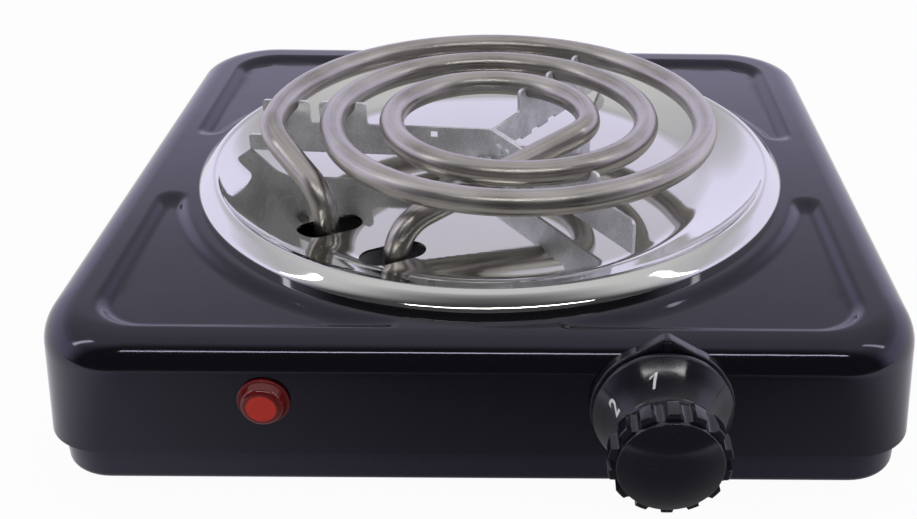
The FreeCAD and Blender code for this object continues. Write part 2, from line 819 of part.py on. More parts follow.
# ---- Knob, shaft and the fixed bezel behind them; distances d run forwards from the panel ----
knob_axis = V(knob_x, front, control_z)
skirt_back = bezel_depth + knob_gap
cone_start = skirt_back + skirt_edge
waist_start = cone_start + cone_rise
grip_start = waist_start + waist_length
grip_end = grip_start + grip_length


def make_bezel():
    disc = Part.makeCylinder(bezel_radius, bezel_depth, knob_axis, -Y)
    peak = Part.Face(loop([(-bezel_peak_width / 2, bezel_radius * 0.7, 0),
                           (-bezel_peak_width / 2, bezel_radius * 0.84, 6.0),
                           (0, bezel_peak, 1.6), (bezel_peak_width / 2, bezel_radius * 0.84, 6.0),
                           (bezel_peak_width / 2, bezel_radius * 0.7, 0)],
                          lambda u, v: knob_axis + X * u + Z * v)).extrude(-Y * bezel_depth)
    plate = fuse(disc, peak)
    rim = [e for e in plate.Edges if all(abs(v.Y - front + bezel_depth) < 1e-4 for v in e.Vertexes)]
    plate = plate.makeFillet(bezel_edge, rim)
    rib = Part.makeBox(index_width, bezel_depth + index_rise, bezel_peak - bezel_radius,
                       knob_axis + V(-index_width / 2, -bezel_depth - index_rise, bezel_radius - 1.0))
    plate = fuse(plate, rib)
    holes = [Part.makeCylinder(bush_radius + bush_gap, bezel_depth + 2, knob_axis + Y, -Y)]
    for side in (-1, 1):
        place = knob_axis + X * side * bezel_screw_reach
        holes.append(Part.makeCylinder(small_screw_radius, bezel_depth + 2, place + Y, -Y))
        holes.append(Part.makeCylinder(small_head_radius, bezel_depth,
                                       place - Y * (bezel_depth - small_head_height), -Y))
    return cut(plate, *holes)


def make_bezel_screw(side):
    place = knob_axis + X * side * bezel_screw_reach
    seat = bezel_depth - small_head_height
    head = turned([(0, seat, 0), (small_head_radius, seat, 0), (small_head_radius, bezel_depth, -0.4),
                   (0, bezel_depth, 0)], place, -Y)
    return fuse(head, Part.makeCylinder(small_screw_radius, seat + sheet + frame_sheet + screw_end,
                                        place - Y * seat, Y))


def shaft_section(radius, flat, start, end):
    """Round bar with one flat on top, along the knob's axis."""
    bar = Part.makeCylinder(radius, end - start, knob_axis - Y * start, -Y)
    top = Part.makeBox(4 * radius, end - start + 2, radius,
                       knob_axis + V(-2 * radius, -end - 1, radius - flat))
    return bar.cut(top)


def make_knob():
    body = turned([(0, skirt_back, 0), (skirt_radius, skirt_back, 0.4), (skirt_radius, cone_start, 0.5),
                   (cone_knee_radius, cone_start + cone_knee, 5.0), (waist_radius, waist_start, 0),
                   (waist_radius, grip_start, 1.5), (lobe_tip, grip_start + lobe_flare, 1.5),
                   (lobe_tip, grip_end - lobe_step, 1.0), (grip_radius, grip_end - lobe_step, 0),
                   (grip_radius, grip_end, 0.8), (0, knob_reach, 0)], knob_axis, -Y)
    flutes = []
    for i in range(lobe_count):
        angle = math.radians(360 / lobe_count * (i + 0.5))
        place = knob_axis + (X * math.sin(angle) + Z * math.cos(angle)) * flute_reach - Y * grip_start
        flutes.append(Part.makeCylinder(flute_radius, grip_length - lobe_step, place, -Y))
    body = cut(body, *flutes)
    cavity = turned([(hub_radius, skirt_back - 1, 0), (waist_radius - knob_wall, skirt_back - 1, 0),
                     (waist_radius - knob_wall, grip_end - knob_wall, 1.0),
                     (hub_radius, grip_end - knob_wall, 0.5)],
                    knob_axis, -Y)
    bore = shaft_section(shaft_radius, shaft_flat, skirt_back - 1, grip_start + 4)
    relief = Part.makeCylinder(bush_radius + bush_gap, 1.0, knob_axis - Y * (skirt_back - 0.2), -Y)
    return cut(body, cavity, bore, relief)


def make_knob_clip():
    """Spring sleeve pressed over the knob's hub."""
    return turned([(hub_radius, skirt_back + 2, 0), (hub_radius + 0.5, skirt_back + 2, 0),
                   (hub_radius + 0.5, skirt_back + 7, 0), (hub_radius, skirt_back + 7, 0)], knob_axis, -Y)


# ---- Thermostat: bush and frame behind the panel, stack of discs with two blades ----
frame_back = -sheet - frame_sheet            # distances behind the panel's outer face are negative
bush_end = frame_back - bush_length
blade_one = frame_back - first_disc - blade_sheet
blade_two = blade_one - second_disc - blade_sheet
stack_end = blade_two - third_disc
shaft_tip = blade_one + blade_sheet + 0.4
stack_axis = knob_axis - X * stack_reach


def make_shaft():
    collar_front = bush_end - collar_gap
    collar_back = collar_front - collar_width
    shaft = shaft_section(shaft_radius, shaft_flat, skirt_back, grip_start + 4)
    plain = Part.makeCylinder(shaft_radius, skirt_back - collar_front, knob_axis - Y * collar_front, -Y)
    collar = Part.makeCylinder(shaft_radius + collar_rise, collar_width, knob_axis - Y * collar_back, -Y)
    tip = turned([(0, shaft_tip, 0), (shaft_radius / 2, shaft_tip, -0.4),
                  (shaft_radius / 2, collar_back, 0),
                  (0, collar_back, 0)], knob_axis, -Y)
    return fuse(shaft, plain, collar, tip)


def make_bush():
    bore = shaft_radius + shaft_play
    return turned([(bore, bush_end, 0), (bush_radius, bush_end, -0.5),
                   (bush_radius, bezel_depth - knob_gap, -0.4),
                   (bore, bezel_depth - knob_gap, 0)], knob_axis, -Y)


def make_frame():
    left = stack_reach + stack_radius + 2
    plate = Part.Face(loop([(-left, -frame_height / 2, 4), (frame_right, -frame_height / 2, 4),
                            (frame_right, frame_height / 2, 4), (-left, frame_height / 2, 4)],
                           lambda u, v: knob_axis + V(u, sheet, v))).extrude(Y * frame_sheet)
    holes = [Part.makeCylinder(bush_radius, 9, knob_axis - Y * 3, Y),
             Part.makeCylinder(stack_rivet_radius, 9, stack_axis - Y * 3, Y)]
    for side in (-1, 1):
        holes.append(Part.makeCylinder(small_screw_radius, 9, knob_axis + V(side * bezel_screw_reach, -3,
                                                                            0), Y))
    return cut(plate, *holes)


def make_disc(near, far):
    return turned([(stack_rivet_radius, far, 0), (stack_radius, far, 0), (stack_radius, near, 0),
                   (stack_rivet_radius, near, 0)], stack_axis, -Y)


def make_stack_rivet():
    low, high = stack_end - 1.2, -sheet
    return turned([(0, low, 0), (stack_rivet_radius + 1.4, low, -0.4),
                   (stack_rivet_radius + 1.4, stack_end, 0),
                   (stack_rivet_radius, stack_end, 0), (stack_rivet_radius, high, 0), (0, high, 0)],
                  stack_axis, -Y)


def make_blade(far, overhang, reach):
    """Flat blade from a wiring tab left of the stack to its free end."""
    left = -stack_reach - overhang
    half = blade_width / 2
    face = Part.Face(loop([(left, -half, 1.5), (reach, -half, 1.5), (reach, half, 1.5), (left, half, 1.5)],
                          lambda u, v: knob_axis + V(u, -far, v)))
    blade = face.extrude(-Y * blade_sheet)
    return blade.cut(Part.makeCylinder(stack_rivet_radius, 4, stack_axis - Y * (far - 2), -Y))


def make_contact(near, far):
    place = knob_axis + X * (bush_radius + 3)
    return turned([(0, far, 0), (contact_radius, far, 0), (contact_radius, near, 0), (0, near, 0)], place,
                  -Y)


# ---- Indicator lamp ----
lamp_axis = V(lamp_x, front, control_z)


def make_lens():
    inner = lens_barrel_radius - lens_wall
    shell = turned([(inner, -lens_barrel, 0), (lens_barrel_radius, -lens_barrel, 0),
                    (lens_barrel_radius, 0, 0),
                    (lens_flange_radius, 0, 0.3), (lens_flange_radius, lens_flange, 0.4),
                    (lens_dome_radius, lens_flange, 0), (lens_dome_radius - 1.0, lens_reach, 1.6),
                    (0, lens_reach, 0), (0, lens_reach - lens_face, 0),
                    (inner, lens_reach - lens_face, 0)], lamp_axis, -Y)
    return shell


def make_bulb():
    near = lens_reach - bulb_gap - bulb_length
    return turned([(0, near, 0), (bulb_radius, near, 0), (bulb_radius, lens_reach - bulb_gap, 2.2),
                   (0, lens_reach - bulb_gap, 0)], lamp_axis, -Y), near


def make_bulb_holder(near):
    """Plug that carries the bulb in the lens barrel and lets the two leads out."""
    inner = lens_barrel_radius - lens_wall
    plug = turned([(bulb_radius, -lens_barrel, 0), (inner, -lens_barrel, 0),
                   (inner, plug_cap - lens_barrel, 0),
                   (bulb_radius, plug_cap - lens_barrel, 0)], lamp_axis, -Y)
    cap = turned([(0, -lens_barrel - plug_cap, 0), (inner, -lens_barrel - plug_cap, -0.6),
                  (inner, -lens_barrel, 0),
                  (bulb_radius, -lens_barrel, 0), (bulb_radius, near, 0), (0, near, 0)], lamp_axis, -Y)
    return fuse(plug, cap)


def make_push_nut():
    grip = lens_barrel_radius
    seat = -sheet
    return turned([(grip, seat - 1.4, 0), (push_nut_radius, seat - 0.4, 0.0), (push_nut_radius, seat, 0.0),
                   (grip + 1.5, seat - push_nut_sheet - 0.3, 0.0), (grip, seat - 1.0, 0)], lamp_axis, -Y)


# ---- Cable inlet, terminal block, earth screw and wires ----
inlet_axis = V(inlet_x, back, inlet_z)
block_front = block_y - block_depth / 2
block_left = block_x - pole_count * block_pole / 2


def make_inlet():
    """Rubber bush in the rear wall; distances run backwards from the wall's outer face."""
    inside = -sheet - inlet_flange
    return turned([(inlet_relief, inside, 0), (inlet_flange_radius, inside, -0.5),
                   (inlet_flange_radius, -sheet, 0),
                   (inlet_neck_radius, -sheet, 0), (inlet_neck_radius, 0, 0), (inlet_flange_radius, 0, 0),
                   (inlet_flange_radius, inlet_flange, -0.6), (inlet_neck_radius, inlet_flange, 0),
                   (inlet_neck_radius - 0.8, inlet_nose, -0.6), (inlet_bore, inlet_nose, 0),
                   (inlet_bore, inlet_flange, 0), (inlet_relief, inlet_flange, 0)], inlet_axis, Y)


def pole_place(index, height=0.42):
    return V(block_left + block_pole * (index + 0.5), block_front, floor_z + block_height * height)


def block_screw_places():
    reach = (pole_count * block_pole + ear_length) / 2
    return [(block_x - reach, block_y), (block_x + reach, block_y)]


def make_block():
    low, high = block_front, block_front + block_depth
    chain = [(low, floor_z, 0), (high, floor_z, 0), (high, floor_z + block_height * 0.75, 1.0),
             (high - block_shoulder, floor_z + block_height, 1.0),
             (low + block_shoulder, floor_z + block_height, 1.0),
             (low, floor_z + block_height * 0.75, 1.0)]
    length = pole_count * block_pole
    ears = rounded_block(length + 2 * ear_length, ear_width, ear_length / 2, floor_z, floor_z + ear_height,
                         block_x, block_y)
    body = Part.Face(loop(chain, lambda u, v: V(block_left, u, v))).extrude(X * length)
    holes = []
    for i in range(pole_count):
        place = pole_place(i)
        holes.append(Part.makeCylinder(pole_screw_radius, block_height, pole_screw_foot(i)))
        holes.append(Part.makeCylinder(pole_bore, block_depth / 4 + 1, place + Y * (block_depth * 0.75), Y))
    for i in range(pole_count - 1):
        groove = block_left + block_pole * (i + 1)
        corner = V(groove - block_groove / 2, low - 1, floor_z + block_height - 2 * block_groove)
        holes.append(Part.makeBox(block_groove, block_depth + 2, block_height, corner))
    for x, y in block_screw_places():
        holes.append(Part.makeCylinder(small_screw_radius, 6, V(x, y, floor_z - 1)))
    return cut(body.fuse(ears), *holes)


def pole_screw_foot(index):
    return V(pole_place(index).x, block_y + block_depth / 4, floor_z + block_height - 1.25 * pole_screw_length)


def make_pole_screw(index):
    """Slotted screw sunk in a pole."""
    foot = pole_screw_foot(index)
    screw = Part.makeCylinder(pole_screw_radius, pole_screw_length, foot)
    slot = Part.makeBox(3 * pole_screw_radius, screw_slot, 1,
                        foot + V(-1.5 * pole_screw_radius, -screw_slot / 2, pole_screw_length * 0.75))
    return screw.cut(slot)


def make_block_screw(x, y):
    seat = floor_z + ear_height
    head = turned([(0, seat, 0), (small_head_radius, seat, 0),
                   (small_head_radius, seat + small_head_height, -0.6),
                   (0, seat + small_head_height, 0)], V(x, y, 0), Z)
    return fuse(head, Part.makeCylinder(small_screw_radius, seat - base_z + 1, V(x, y, base_z - 1)))


def earth_place():
    return V(block_left + pole_count * block_pole + earth_gap, block_front - earth_reach, 0)


def make_earth_screw():
    place = earth_place()
    seat = floor_z + 2 * wire_radius
    head = turned([(0, seat, 0), (small_head_radius + 0.8, seat, 0),
                   (small_head_radius + 0.8, seat + small_head_height, -0.6),
                   (0, seat + small_head_height, 0)], place, Z)
    return fuse(head, Part.makeCylinder(small_screw_radius, seat - base_z + 1,
                                        V(place.x, place.y, base_z - 1)))


def wire(points, radius=wire_radius):
    return tube(bent_path([(p, wire_bend) for p in points]), radius)


def blade_tab(far, overhang):
    """Spot on a blade's wiring tab where a wire ends, on its rear face."""
    return V(knob_x - stack_reach - overhang + blade_width / 4, front - far, control_z)


def pole_to_blade(start, end, level, side_step):
    """Straight out of a pole, across at one level, and up to a blade's tab."""
    return wire([start, start - Y * wire_lead, V(end.x + side_step, end.y + wire_tail + wire_fall, level),
                 end + Y * wire_tail, end])


def make_live_wire():
    return pole_to_blade(pole_place(2), blade_tab(blade_two, blade_overhang), live_level, wire_bend)


def make_load_wire():
    start = pole_place(1) + X * pole_side_step
    return pole_to_blade(start, blade_tab(blade_one, blade_overhang + tab_step), load_level, -wire_bend)


def make_coil_wire(pole, leg):
    start = pole_place(pole) - X * pole_side_step
    end = V(leg.x, leg.y, leg_end_z - seal_length - pin_length)
    low = V(end.x, end.y, end.z - wire_bend - wire_radius / 2)
    return wire([start, start - Y * wire_lead * 0.75, low + Y * wire_lead * 1.5, low, end])


def make_lamp_wire(pole, side):
    start = lamp_axis + V(side * 2 * lamp_wire_radius, lens_barrel + plug_cap, 0)
    end = pole_place(pole, 0.2)
    across = V(start.x + wire_lead * 0.75, start.y + wire_lead * 2.5, lamp_level)
    return wire([start, start + Y * wire_lead * 0.75, V(start.x, start.y + wire_lead, 2 * lamp_level),
                 across,
                 V(end.x - wire_bend, end.y - wire_lead * 1.8, lamp_level), end - Y * wire_lead / 2, end],
                lamp_wire_radius)


def make_earth_wire():
    start = pole_place(3)
    place = earth_place()
    return wire([start, start - Y * wire_lead / 2, V(start.x, place.y, floor_z + wire_radius),
                 V(place.x - small_screw_radius - 0.1, place.y, floor_z + wire_radius)])


# ---- Nodes ----
def together(solids):
    return Part.makeCompound(list(solids))


bulb, bulb_back = make_bulb()
nodes = {
    "top_housing": make_housing(),
    "base_pan": make_base(),
    "drip_pan": make_pan(),
    "heating_coil": make_coil(),
    "coil_seals": together(make_seal(leg) for leg in (leg_one, leg_two)),
    "coil_pins": together(make_pin(leg) for leg in (leg_one, leg_two)),
    "trivet_long_strip": make_long_strip(),
    "trivet_short_strip": make_short_strip(),
    "trivet_rivets": together(make_hub_rivet(place) for place in rivet_axes()),
    "centre_screw": make_centre_screw(),
    "centre_nut": make_centre_nut(),
    "pan_spacer": make_spacer(),
    "bridge_bracket": make_bridge(),
    "bridge_rivets": together(make_bridge_rivet(x, y) for x, y in bridge_rivet_places()),
    "leg_clamp_plate": make_clamp_plate(),
    "clamp_screws": together(make_clamp_screw(corner) for corner in clamp_corners()),
    "foot_screws": together(make_foot_screw(x, y) for x, y in foot_places()),
    "knob": make_knob(),
    "knob_clip": make_knob_clip(),
    "knob_bezel": make_bezel(),
    "bezel_screws": together(make_bezel_screw(side) for side in (-1, 1)),
    "thermostat_shaft": make_shaft(),
    "thermostat_bush": make_bush(),
    "thermostat_frame": make_frame(),
    "thermostat_discs": together([make_disc(frame_back, frame_back - first_disc),
                                  make_disc(blade_one, blade_one - second_disc),
                                  make_disc(blade_two, stack_end)]),
    "stack_rivet": make_stack_rivet(),
    "spring_blade": fuse(make_blade(blade_one, blade_overhang + tab_step, blade_one_reach),
                         make_contact(blade_one, blade_one - contact_rise)),
    "bimetal_blade": fuse(make_blade(blade_two, blade_overhang, blade_two_reach),
                          make_contact(blade_two + blade_sheet + contact_rise, blade_two + blade_sheet)),
    "indicator_lens": make_lens(),
    "indicator_bulb": bulb,
    "indicator_plug": make_bulb_holder(bulb_back),
    "indicator_push_nut": make_push_nut(),
    "cable_inlet": make_inlet(),
    "terminal_block": make_block(),
    "pole_screws": together(make_pole_screw(i) for i in range(pole_count)),
    "block_screws": together(make_block_screw(x, y) for x, y in block_screw_places()),
    "earth_screw": make_earth_screw(),
    "live_wire": make_live_wire(),
    "load_wire": make_load_wire(),
    "coil_wire_one": make_coil_wire(0, leg_one),
    "coil_wire_two": make_coil_wire(1, leg_two),
    "lamp_wires": together([make_lamp_wire(0, -1), make_lamp_wire(1, 1)]),
    "earth_wire": make_earth_wire(),
}
for name, (x, y) in zip(("front_left", "front_right", "back_left", "back_right"), foot_places()):
    nodes["foot_" + name] = make_foot(x, y)
    nodes["post_" + name] = make_post(x, y)

os.makedirs("parts", exist_ok=True)
for name, shape in nodes.items():
    shape.translate(V(0, body_y, 0))
    shape.exportStep("parts/" + name + ".step")
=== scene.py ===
"""A single-coil electric hot plate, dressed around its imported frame.  Metres, +Z up, front at -Y."""
import math

import bmesh
import bpy
from mathutils import Matrix, Vector
from mathutils.bvhtree import BVHTree


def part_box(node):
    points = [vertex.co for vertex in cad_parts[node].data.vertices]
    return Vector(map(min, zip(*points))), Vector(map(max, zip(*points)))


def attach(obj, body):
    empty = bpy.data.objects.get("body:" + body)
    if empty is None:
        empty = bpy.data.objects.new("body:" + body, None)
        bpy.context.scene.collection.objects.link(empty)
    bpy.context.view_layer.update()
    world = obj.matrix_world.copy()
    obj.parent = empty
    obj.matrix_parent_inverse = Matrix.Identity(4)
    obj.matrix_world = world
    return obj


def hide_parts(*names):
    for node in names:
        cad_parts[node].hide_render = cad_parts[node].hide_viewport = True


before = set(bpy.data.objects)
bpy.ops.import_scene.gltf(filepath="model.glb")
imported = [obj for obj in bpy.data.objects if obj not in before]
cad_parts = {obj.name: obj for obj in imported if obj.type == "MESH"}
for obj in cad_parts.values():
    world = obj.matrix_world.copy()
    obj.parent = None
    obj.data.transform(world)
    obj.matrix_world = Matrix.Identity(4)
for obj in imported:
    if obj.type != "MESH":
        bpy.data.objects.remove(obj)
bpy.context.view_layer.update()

# ---- Camera, table and light ----
# The appliance stands on a pale table and is seen from in front and above, as by someone who is about
# to use it. The room is bright behind and above it and dimmer on the side of the viewer.


def put_in(name, data):
    """Adds an object with this data to the scene and returns it."""
    thing = bpy.data.objects.new(name, data)
    bpy.context.collection.objects.link(thing)
    return thing


eye = Vector((0.01325, -0.3370, 0.2126))
turn, dip, tilt = 0.017, 0.520, 0.017
ahead = Vector((math.sin(turn) * math.cos(dip), math.cos(turn) * math.cos(dip), -math.sin(dip)))
level = Vector((math.cos(turn), -math.sin(turn), 0))
upright = level.cross(ahead)
camera_right = level * math.cos(tilt) + upright * math.sin(tilt)
camera_up = upright * math.cos(tilt) - level * math.sin(tilt)
camera_data = bpy.data.cameras.new("camera")
camera_data.sensor_width = 36.0
camera_data.lens = 46.98
camera_data.shift_x = -0.1015
camera_data.clip_start = 0.01
camera = put_in("camera", camera_data)
camera.matrix_world = Matrix((
    (camera_right.x, camera_up.x, -ahead.x, eye.x),
    (camera_right.y, camera_up.y, -ahead.y, eye.y),
    (camera_right.z, camera_up.z, -ahead.z, eye.z),
    (0, 0, 0, 1)))
bpy.context.scene.camera = camera
bpy.context.scene.view_settings.view_transform = "Standard"


def add_node(tree, kind, settings=None, **values):
    """Adds a node, sets its settings, and feeds its inputs from values or sockets.

    An input is given by its number, as in i0, or by its name with underscores for spaces.
    """
    node = tree.nodes.new(kind)
    for name, value in (settings or {}).items():
        setattr(node, name, value)
    for name, value in values.items():
        by_number = name[0] == "i" and name[1:].isdigit()
        socket = node.inputs[int(name[1:]) if by_number else name.replace("_", " ")]
        if isinstance(value, bpy.types.NodeSocket):
            tree.links.new(value, socket)
        else:
            socket.default_value = value
    return node


def maths(tree, operation, a, b=0.0, c=0.0):
    """Adds a Math node and returns its result."""
    return add_node(tree, "ShaderNodeMath", {"operation": operation}, i0=a, i1=b, i2=c).outputs[0]


def eased(tree, source, start, end, low, high):
    """Goes smoothly from low, where the source is at start, to high, where it is at end."""
    return add_node(tree, "ShaderNodeMapRange", {"interpolation_type": "SMOOTHSTEP"}, i0=source, i1=start,
                    i2=end, i3=low, i4=high).outputs[0]


def colour_ramp(tree, source, *stops):
    """Turns a value into a colour through stops of (position, colour), given from low to high."""
    ramp = add_node(tree, "ShaderNodeValToRGB", i0=source)
    elements = ramp.color_ramp.elements
    for element, (position, colour) in zip(elements, (stops[0], stops[-1])):
        element.position = position
        element.color = (*colour, 1)
    for position, colour in stops[1:-1]:
        elements.new(position).color = (*colour, 1)
    return ramp.outputs[0]


def seen_directly(tree, path):
    """1 for what the camera sees directly or through glass, else 0, from a Light Path node."""
    return maths(tree, "MAXIMUM", path.outputs["Is Camera Ray"], path.outputs["Is Transmission Ray"])


room = bpy.data.worlds.new("room")
bpy.context.scene.world = room
room.use_nodes = True
tree = room.node_tree
tree.nodes.clear()
direction = add_node(tree, "ShaderNodeTexCoord").outputs["Generated"]
split = add_node(tree, "ShaderNodeSeparateXYZ", i0=direction)
to_the_back = eased(tree, split.outputs["Y"], -0.46, -0.10, 0.0, 1.0)
viewer_side = (0.07, 0.07, 0.078, 1)
back_wall = colour_ramp(tree, split.outputs["Z"], (0.36, (1.04, 0.99, 1.30)), (0.47, (0.76, 0.73, 0.88)),
                        (0.60, (0.62, 0.61, 0.67)), (0.85, (0.80, 0.79, 0.83)))
tone = add_node(tree, "ShaderNodeMix", {"data_type": "RGBA"}, i0=to_the_back, i6=viewer_side, i7=back_wall)
lit = add_node(tree, "ShaderNodeBackground", i0=tone.outputs[2], i1=1.0)
seen = seen_directly(tree, add_node(tree, "ShaderNodeLightPath"))
white = add_node(tree, "ShaderNodeBackground", i0=(1, 1, 1, 1), i1=1.0)
blend = add_node(tree, "ShaderNodeMixShader", i0=seen, i1=lit.outputs[0], i2=white.outputs[0])
add_node(tree, "ShaderNodeOutputWorld", i0=blend.outputs[0])


def soft_box(name, place, width, depth, watts):
    """Hangs a long soft lamp and turns it to the appliance."""
    data = bpy.data.lights.new(name, "AREA")
    data.shape = "RECTANGLE"
    data.size = width
    data.size_y = depth
    data.energy = watts
    light = put_in(name, data)
    light.location = place
    aim = Vector((0, 0, 0.03))
    light.rotation_euler = (aim - Vector(place)).to_track_quat("-Z", "Y").to_euler()


soft_box("light_front", (0.05, -0.62, 0.80), width=1.0, depth=0.03, watts=1.8)
soft_box("light_left", (-0.85, -0.15, 0.65), width=0.06, depth=0.4, watts=0.55)
soft_box("light_right", (0.8, -0.10, 0.7), width=0.06, depth=0.4, watts=0.4)

table_reach = 3.0
table_corners = [(x * table_reach, y * table_reach, 0) for x, y in ((-1, -1), (1, -1), (1, 1), (-1, 1))]
table_mesh = bpy.data.meshes.new("table_top")
table_mesh.from_pydata(table_corners, [], [(0, 1, 2, 3)])
table = put_in("table_top", table_mesh)
table_white = bpy.data.materials.new("table_white")
table_white.use_nodes = True
tree = table_white.node_tree
tree.nodes.clear()
matt = add_node(tree, "ShaderNodeBsdfDiffuse", i0=(0.78, 0.78, 0.79, 1))
glow = add_node(tree, "ShaderNodeEmission", i0=(1, 1, 1, 1), i1=1.0)
path = add_node(tree, "ShaderNodeLightPath")
share = maths(tree, "MULTIPLY", seen_directly(tree, path), 0.96)
bright_top = add_node(tree, "ShaderNodeMixShader", i0=share, i1=matt.outputs[0], i2=glow.outputs[0])
# Painted shade: in reflections the table glows dimmer in front of the appliance and towards the viewer.
on_table = add_node(tree, "ShaderNodeTexCoord").outputs["Object"]
from_shade = add_node(tree, "ShaderNodeVectorMath", {"operation": "DISTANCE"}, i0=on_table,
                      i1=(0.03, -0.22, 0)).outputs["Value"]
around_shade = eased(tree, from_shade, 0.05, 0.27, 0.13, 0.98)
from_front = add_node(tree, "ShaderNodeSeparateXYZ", i0=on_table).outputs["Y"]
before_viewer = eased(tree, from_front, -0.42, -0.20, 0.08, 1.0)
# This emission, seen only by reflections, carries the painted shade on the table.
dim = add_node(tree, "ShaderNodeEmission", i0=(1.0, 0.97, 1.04, 1),
               i1=maths(tree, "MINIMUM", around_shade, before_viewer))
mirrored = add_node(tree, "ShaderNodeMixShader", i0=path.outputs["Is Glossy Ray"], i1=bright_top.outputs[0],
                    i2=dim.outputs[0])
add_node(tree, "ShaderNodeOutputMaterial", i0=mirrored.outputs[0])
table_mesh.materials.append(table_white)

# ---- Housing and base pan ----
# The housing is one deep-drawn steel sheet with four recessed panels, and the base pan a shallow tray
# nested in its skirt. Both are dipped in glossy black enamel, which flows a little as it is fired.


def finish(name, colour, metallic, roughness, **more):
    """Starts a material and returns it with its tree, its shader and its Object coordinates."""
    material = bpy.data.materials.new(name)
    material.use_nodes = True
    tree = material.node_tree
    shader = tree.nodes["Principled BSDF"]
    shader.inputs["Base Color"].default_value = (*colour, 1)
    shader.inputs["Metallic"].default_value = metallic
    shader.inputs["Roughness"].default_value = roughness
    for key, value in more.items():
        shader.inputs[key.replace("_", " ")].default_value = value
    place = add_node(tree, "ShaderNodeTexCoord").outputs["Object"]
    return material, tree, shader, place


def roughen(tree, source, shader, low, high, start=0.0, end=1.0):
    """Feeds the roughness from a texture's value, as a number between low and high."""
    ranged = add_node(tree, "ShaderNodeMapRange", i0=source, i1=start, i2=end, i3=low, i4=high)
    tree.links.new(ranged.outputs[0], shader.inputs["Roughness"])


def tint(tree, source, shader, dark, light, start=0.35, end=0.65):
    """Feeds the base colour from a texture's value through two colours."""
    tree.links.new(colour_ramp(tree, source, (start, dark), (end, light)), shader.inputs["Base Color"])


def dent(tree, source, shader, strength, distance, under=None):
    """Adds a bump, on top of another one if given, and returns its normal."""
    bump = add_node(tree, "ShaderNodeBump", Strength=strength, Distance=distance, Height=source)
    if under is not None:
        tree.links.new(under, bump.inputs["Normal"])
    tree.links.new(bump.outputs[0], shader.inputs["Normal"])
    return bump.outputs[0]


def noise(tree, place, scale, detail):
    """A cloudy value between 0 and 1, with about as many clouds to the metre as the scale says."""
    return add_node(tree, "ShaderNodeTexNoise", Vector=place, Scale=scale, Detail=detail,
                    Roughness=0.5).outputs["Fac"]


def dress(material, *nodes):
    """Gives CAD nodes a finish."""
    for name in nodes:
        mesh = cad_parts[name].data
        mesh.materials.clear()
        mesh.materials.append(material)


enamel_sheen = (0.80, 0.76, 1.0, 1)
enamel, tree, shader, place = finish("black_enamel", (0.005, 0.005, 0.006), metallic=0.0, roughness=0.06,
                                     IOR=1.52, Specular_Tint=enamel_sheen)
flow = noise(tree, place, 28.0, 2.0)
peel = noise(tree, place, 420.0, 2.0)
dust = noise(tree, place, 1600.0, 1.0)
roughen(tree, noise(tree, place, 16.0, 5.0), shader, 0.045, 0.10, 0.35, 0.7)
tint(tree, dust, shader, (0.004, 0.004, 0.005), (0.009, 0.009, 0.011), 0.55, 0.8)
wave = dent(tree, flow, shader, 0.10, 0.0012)
dent(tree, peel, shader, 0.05, 0.00012, wave)


def join_rings(body, rings, turned=False):
    """Joins each ring of vertices to the next with faces, which point the other way if turned."""
    for inner, outer in zip(rings, rings[1:]):
        for k in range(len(inner)):
            n = (k + 1) % len(inner)
            face = (inner[k], outer[k], outer[n], inner[n])
            body.faces.new(face[::-1] if turned else face)


def keep(name, body):
    """Makes an object of an edited mesh, which is then done with."""
    mesh = bpy.data.meshes.new(name)
    body.to_mesh(mesh)
    body.free()
    return put_in(name, mesh)


def baked(thing):
    """The mesh of an object as its modifiers leave it."""
    return bpy.data.meshes.new_from_object(thing.evaluated_get(bpy.context.evaluated_depsgraph_get()))


def pressed_sheet(name, rings, thickness):
    """Skins rings of points, given from the middle outwards and anticlockwise, as one sheet."""
    steel = bmesh.new()
    upper = [[steel.verts.new(point) for point in ring] for ring in rings]
    join_rings(steel, upper)
    steel.normal_update()
    lower = [[steel.verts.new(vert.co - vert.normal * thickness) for vert in ring] for ring in upper]
    join_rings(steel, lower, turned=True)
    join_rings(steel, [upper[0], lower[0]], turned=True)
    join_rings(steel, [upper[-1], lower[-1]])
    return keep(name, steel)


def punch(thing, outline, low, high, sideways=False):
    """Cuts a straight hole of the given outline, anticlockwise, through a piece from above or the front."""
    body = bmesh.new()
    floor, roof = ([body.verts.new((x, end, y) if sideways else (x, y, end)) for x, y in outline]
                   for end in (low, high))
    body.faces.new(roof)
    body.faces.new(floor[::-1])
    join_rings(body, [floor, roof], turned=True)
    die = keep("die", body)
    cut = thing.modifiers.new("cut", "BOOLEAN")
    cut.operation = "DIFFERENCE"
    cut.solver = "EXACT"
    cut.object = die
    bpy.context.view_layer.update()
    pierced = baked(thing)
    thing.modifiers.remove(cut)
    thing.data = pierced
    bpy.data.objects.remove(die)


def polish(thing, material, crease):
    """Gives a piece its finish and smooth shading, apart from edges sharper than the crease in degrees."""
    thing.data.materials.append(material)
    thing.data.shade_smooth()
    thing.data.set_sharp_from_angle(angle=math.radians(crease))


def rounded_distance(x, y, half_width, half_depth, corner):
    """Distance outside a rounded rectangle about the origin, negative inside."""
    dx, dy = abs(x) - half_width + corner, abs(y) - half_depth + corner
    return math.hypot(max(dx, 0), max(dy, 0)) + min(max(dx, dy), 0) - corner


def soft_max(a, b, blend):
    """The larger of two distances, with a rounded change from one to the other."""
    overlap = max(blend - abs(a - b), 0) / blend
    return max(a, b) + overlap * overlap * blend / 4


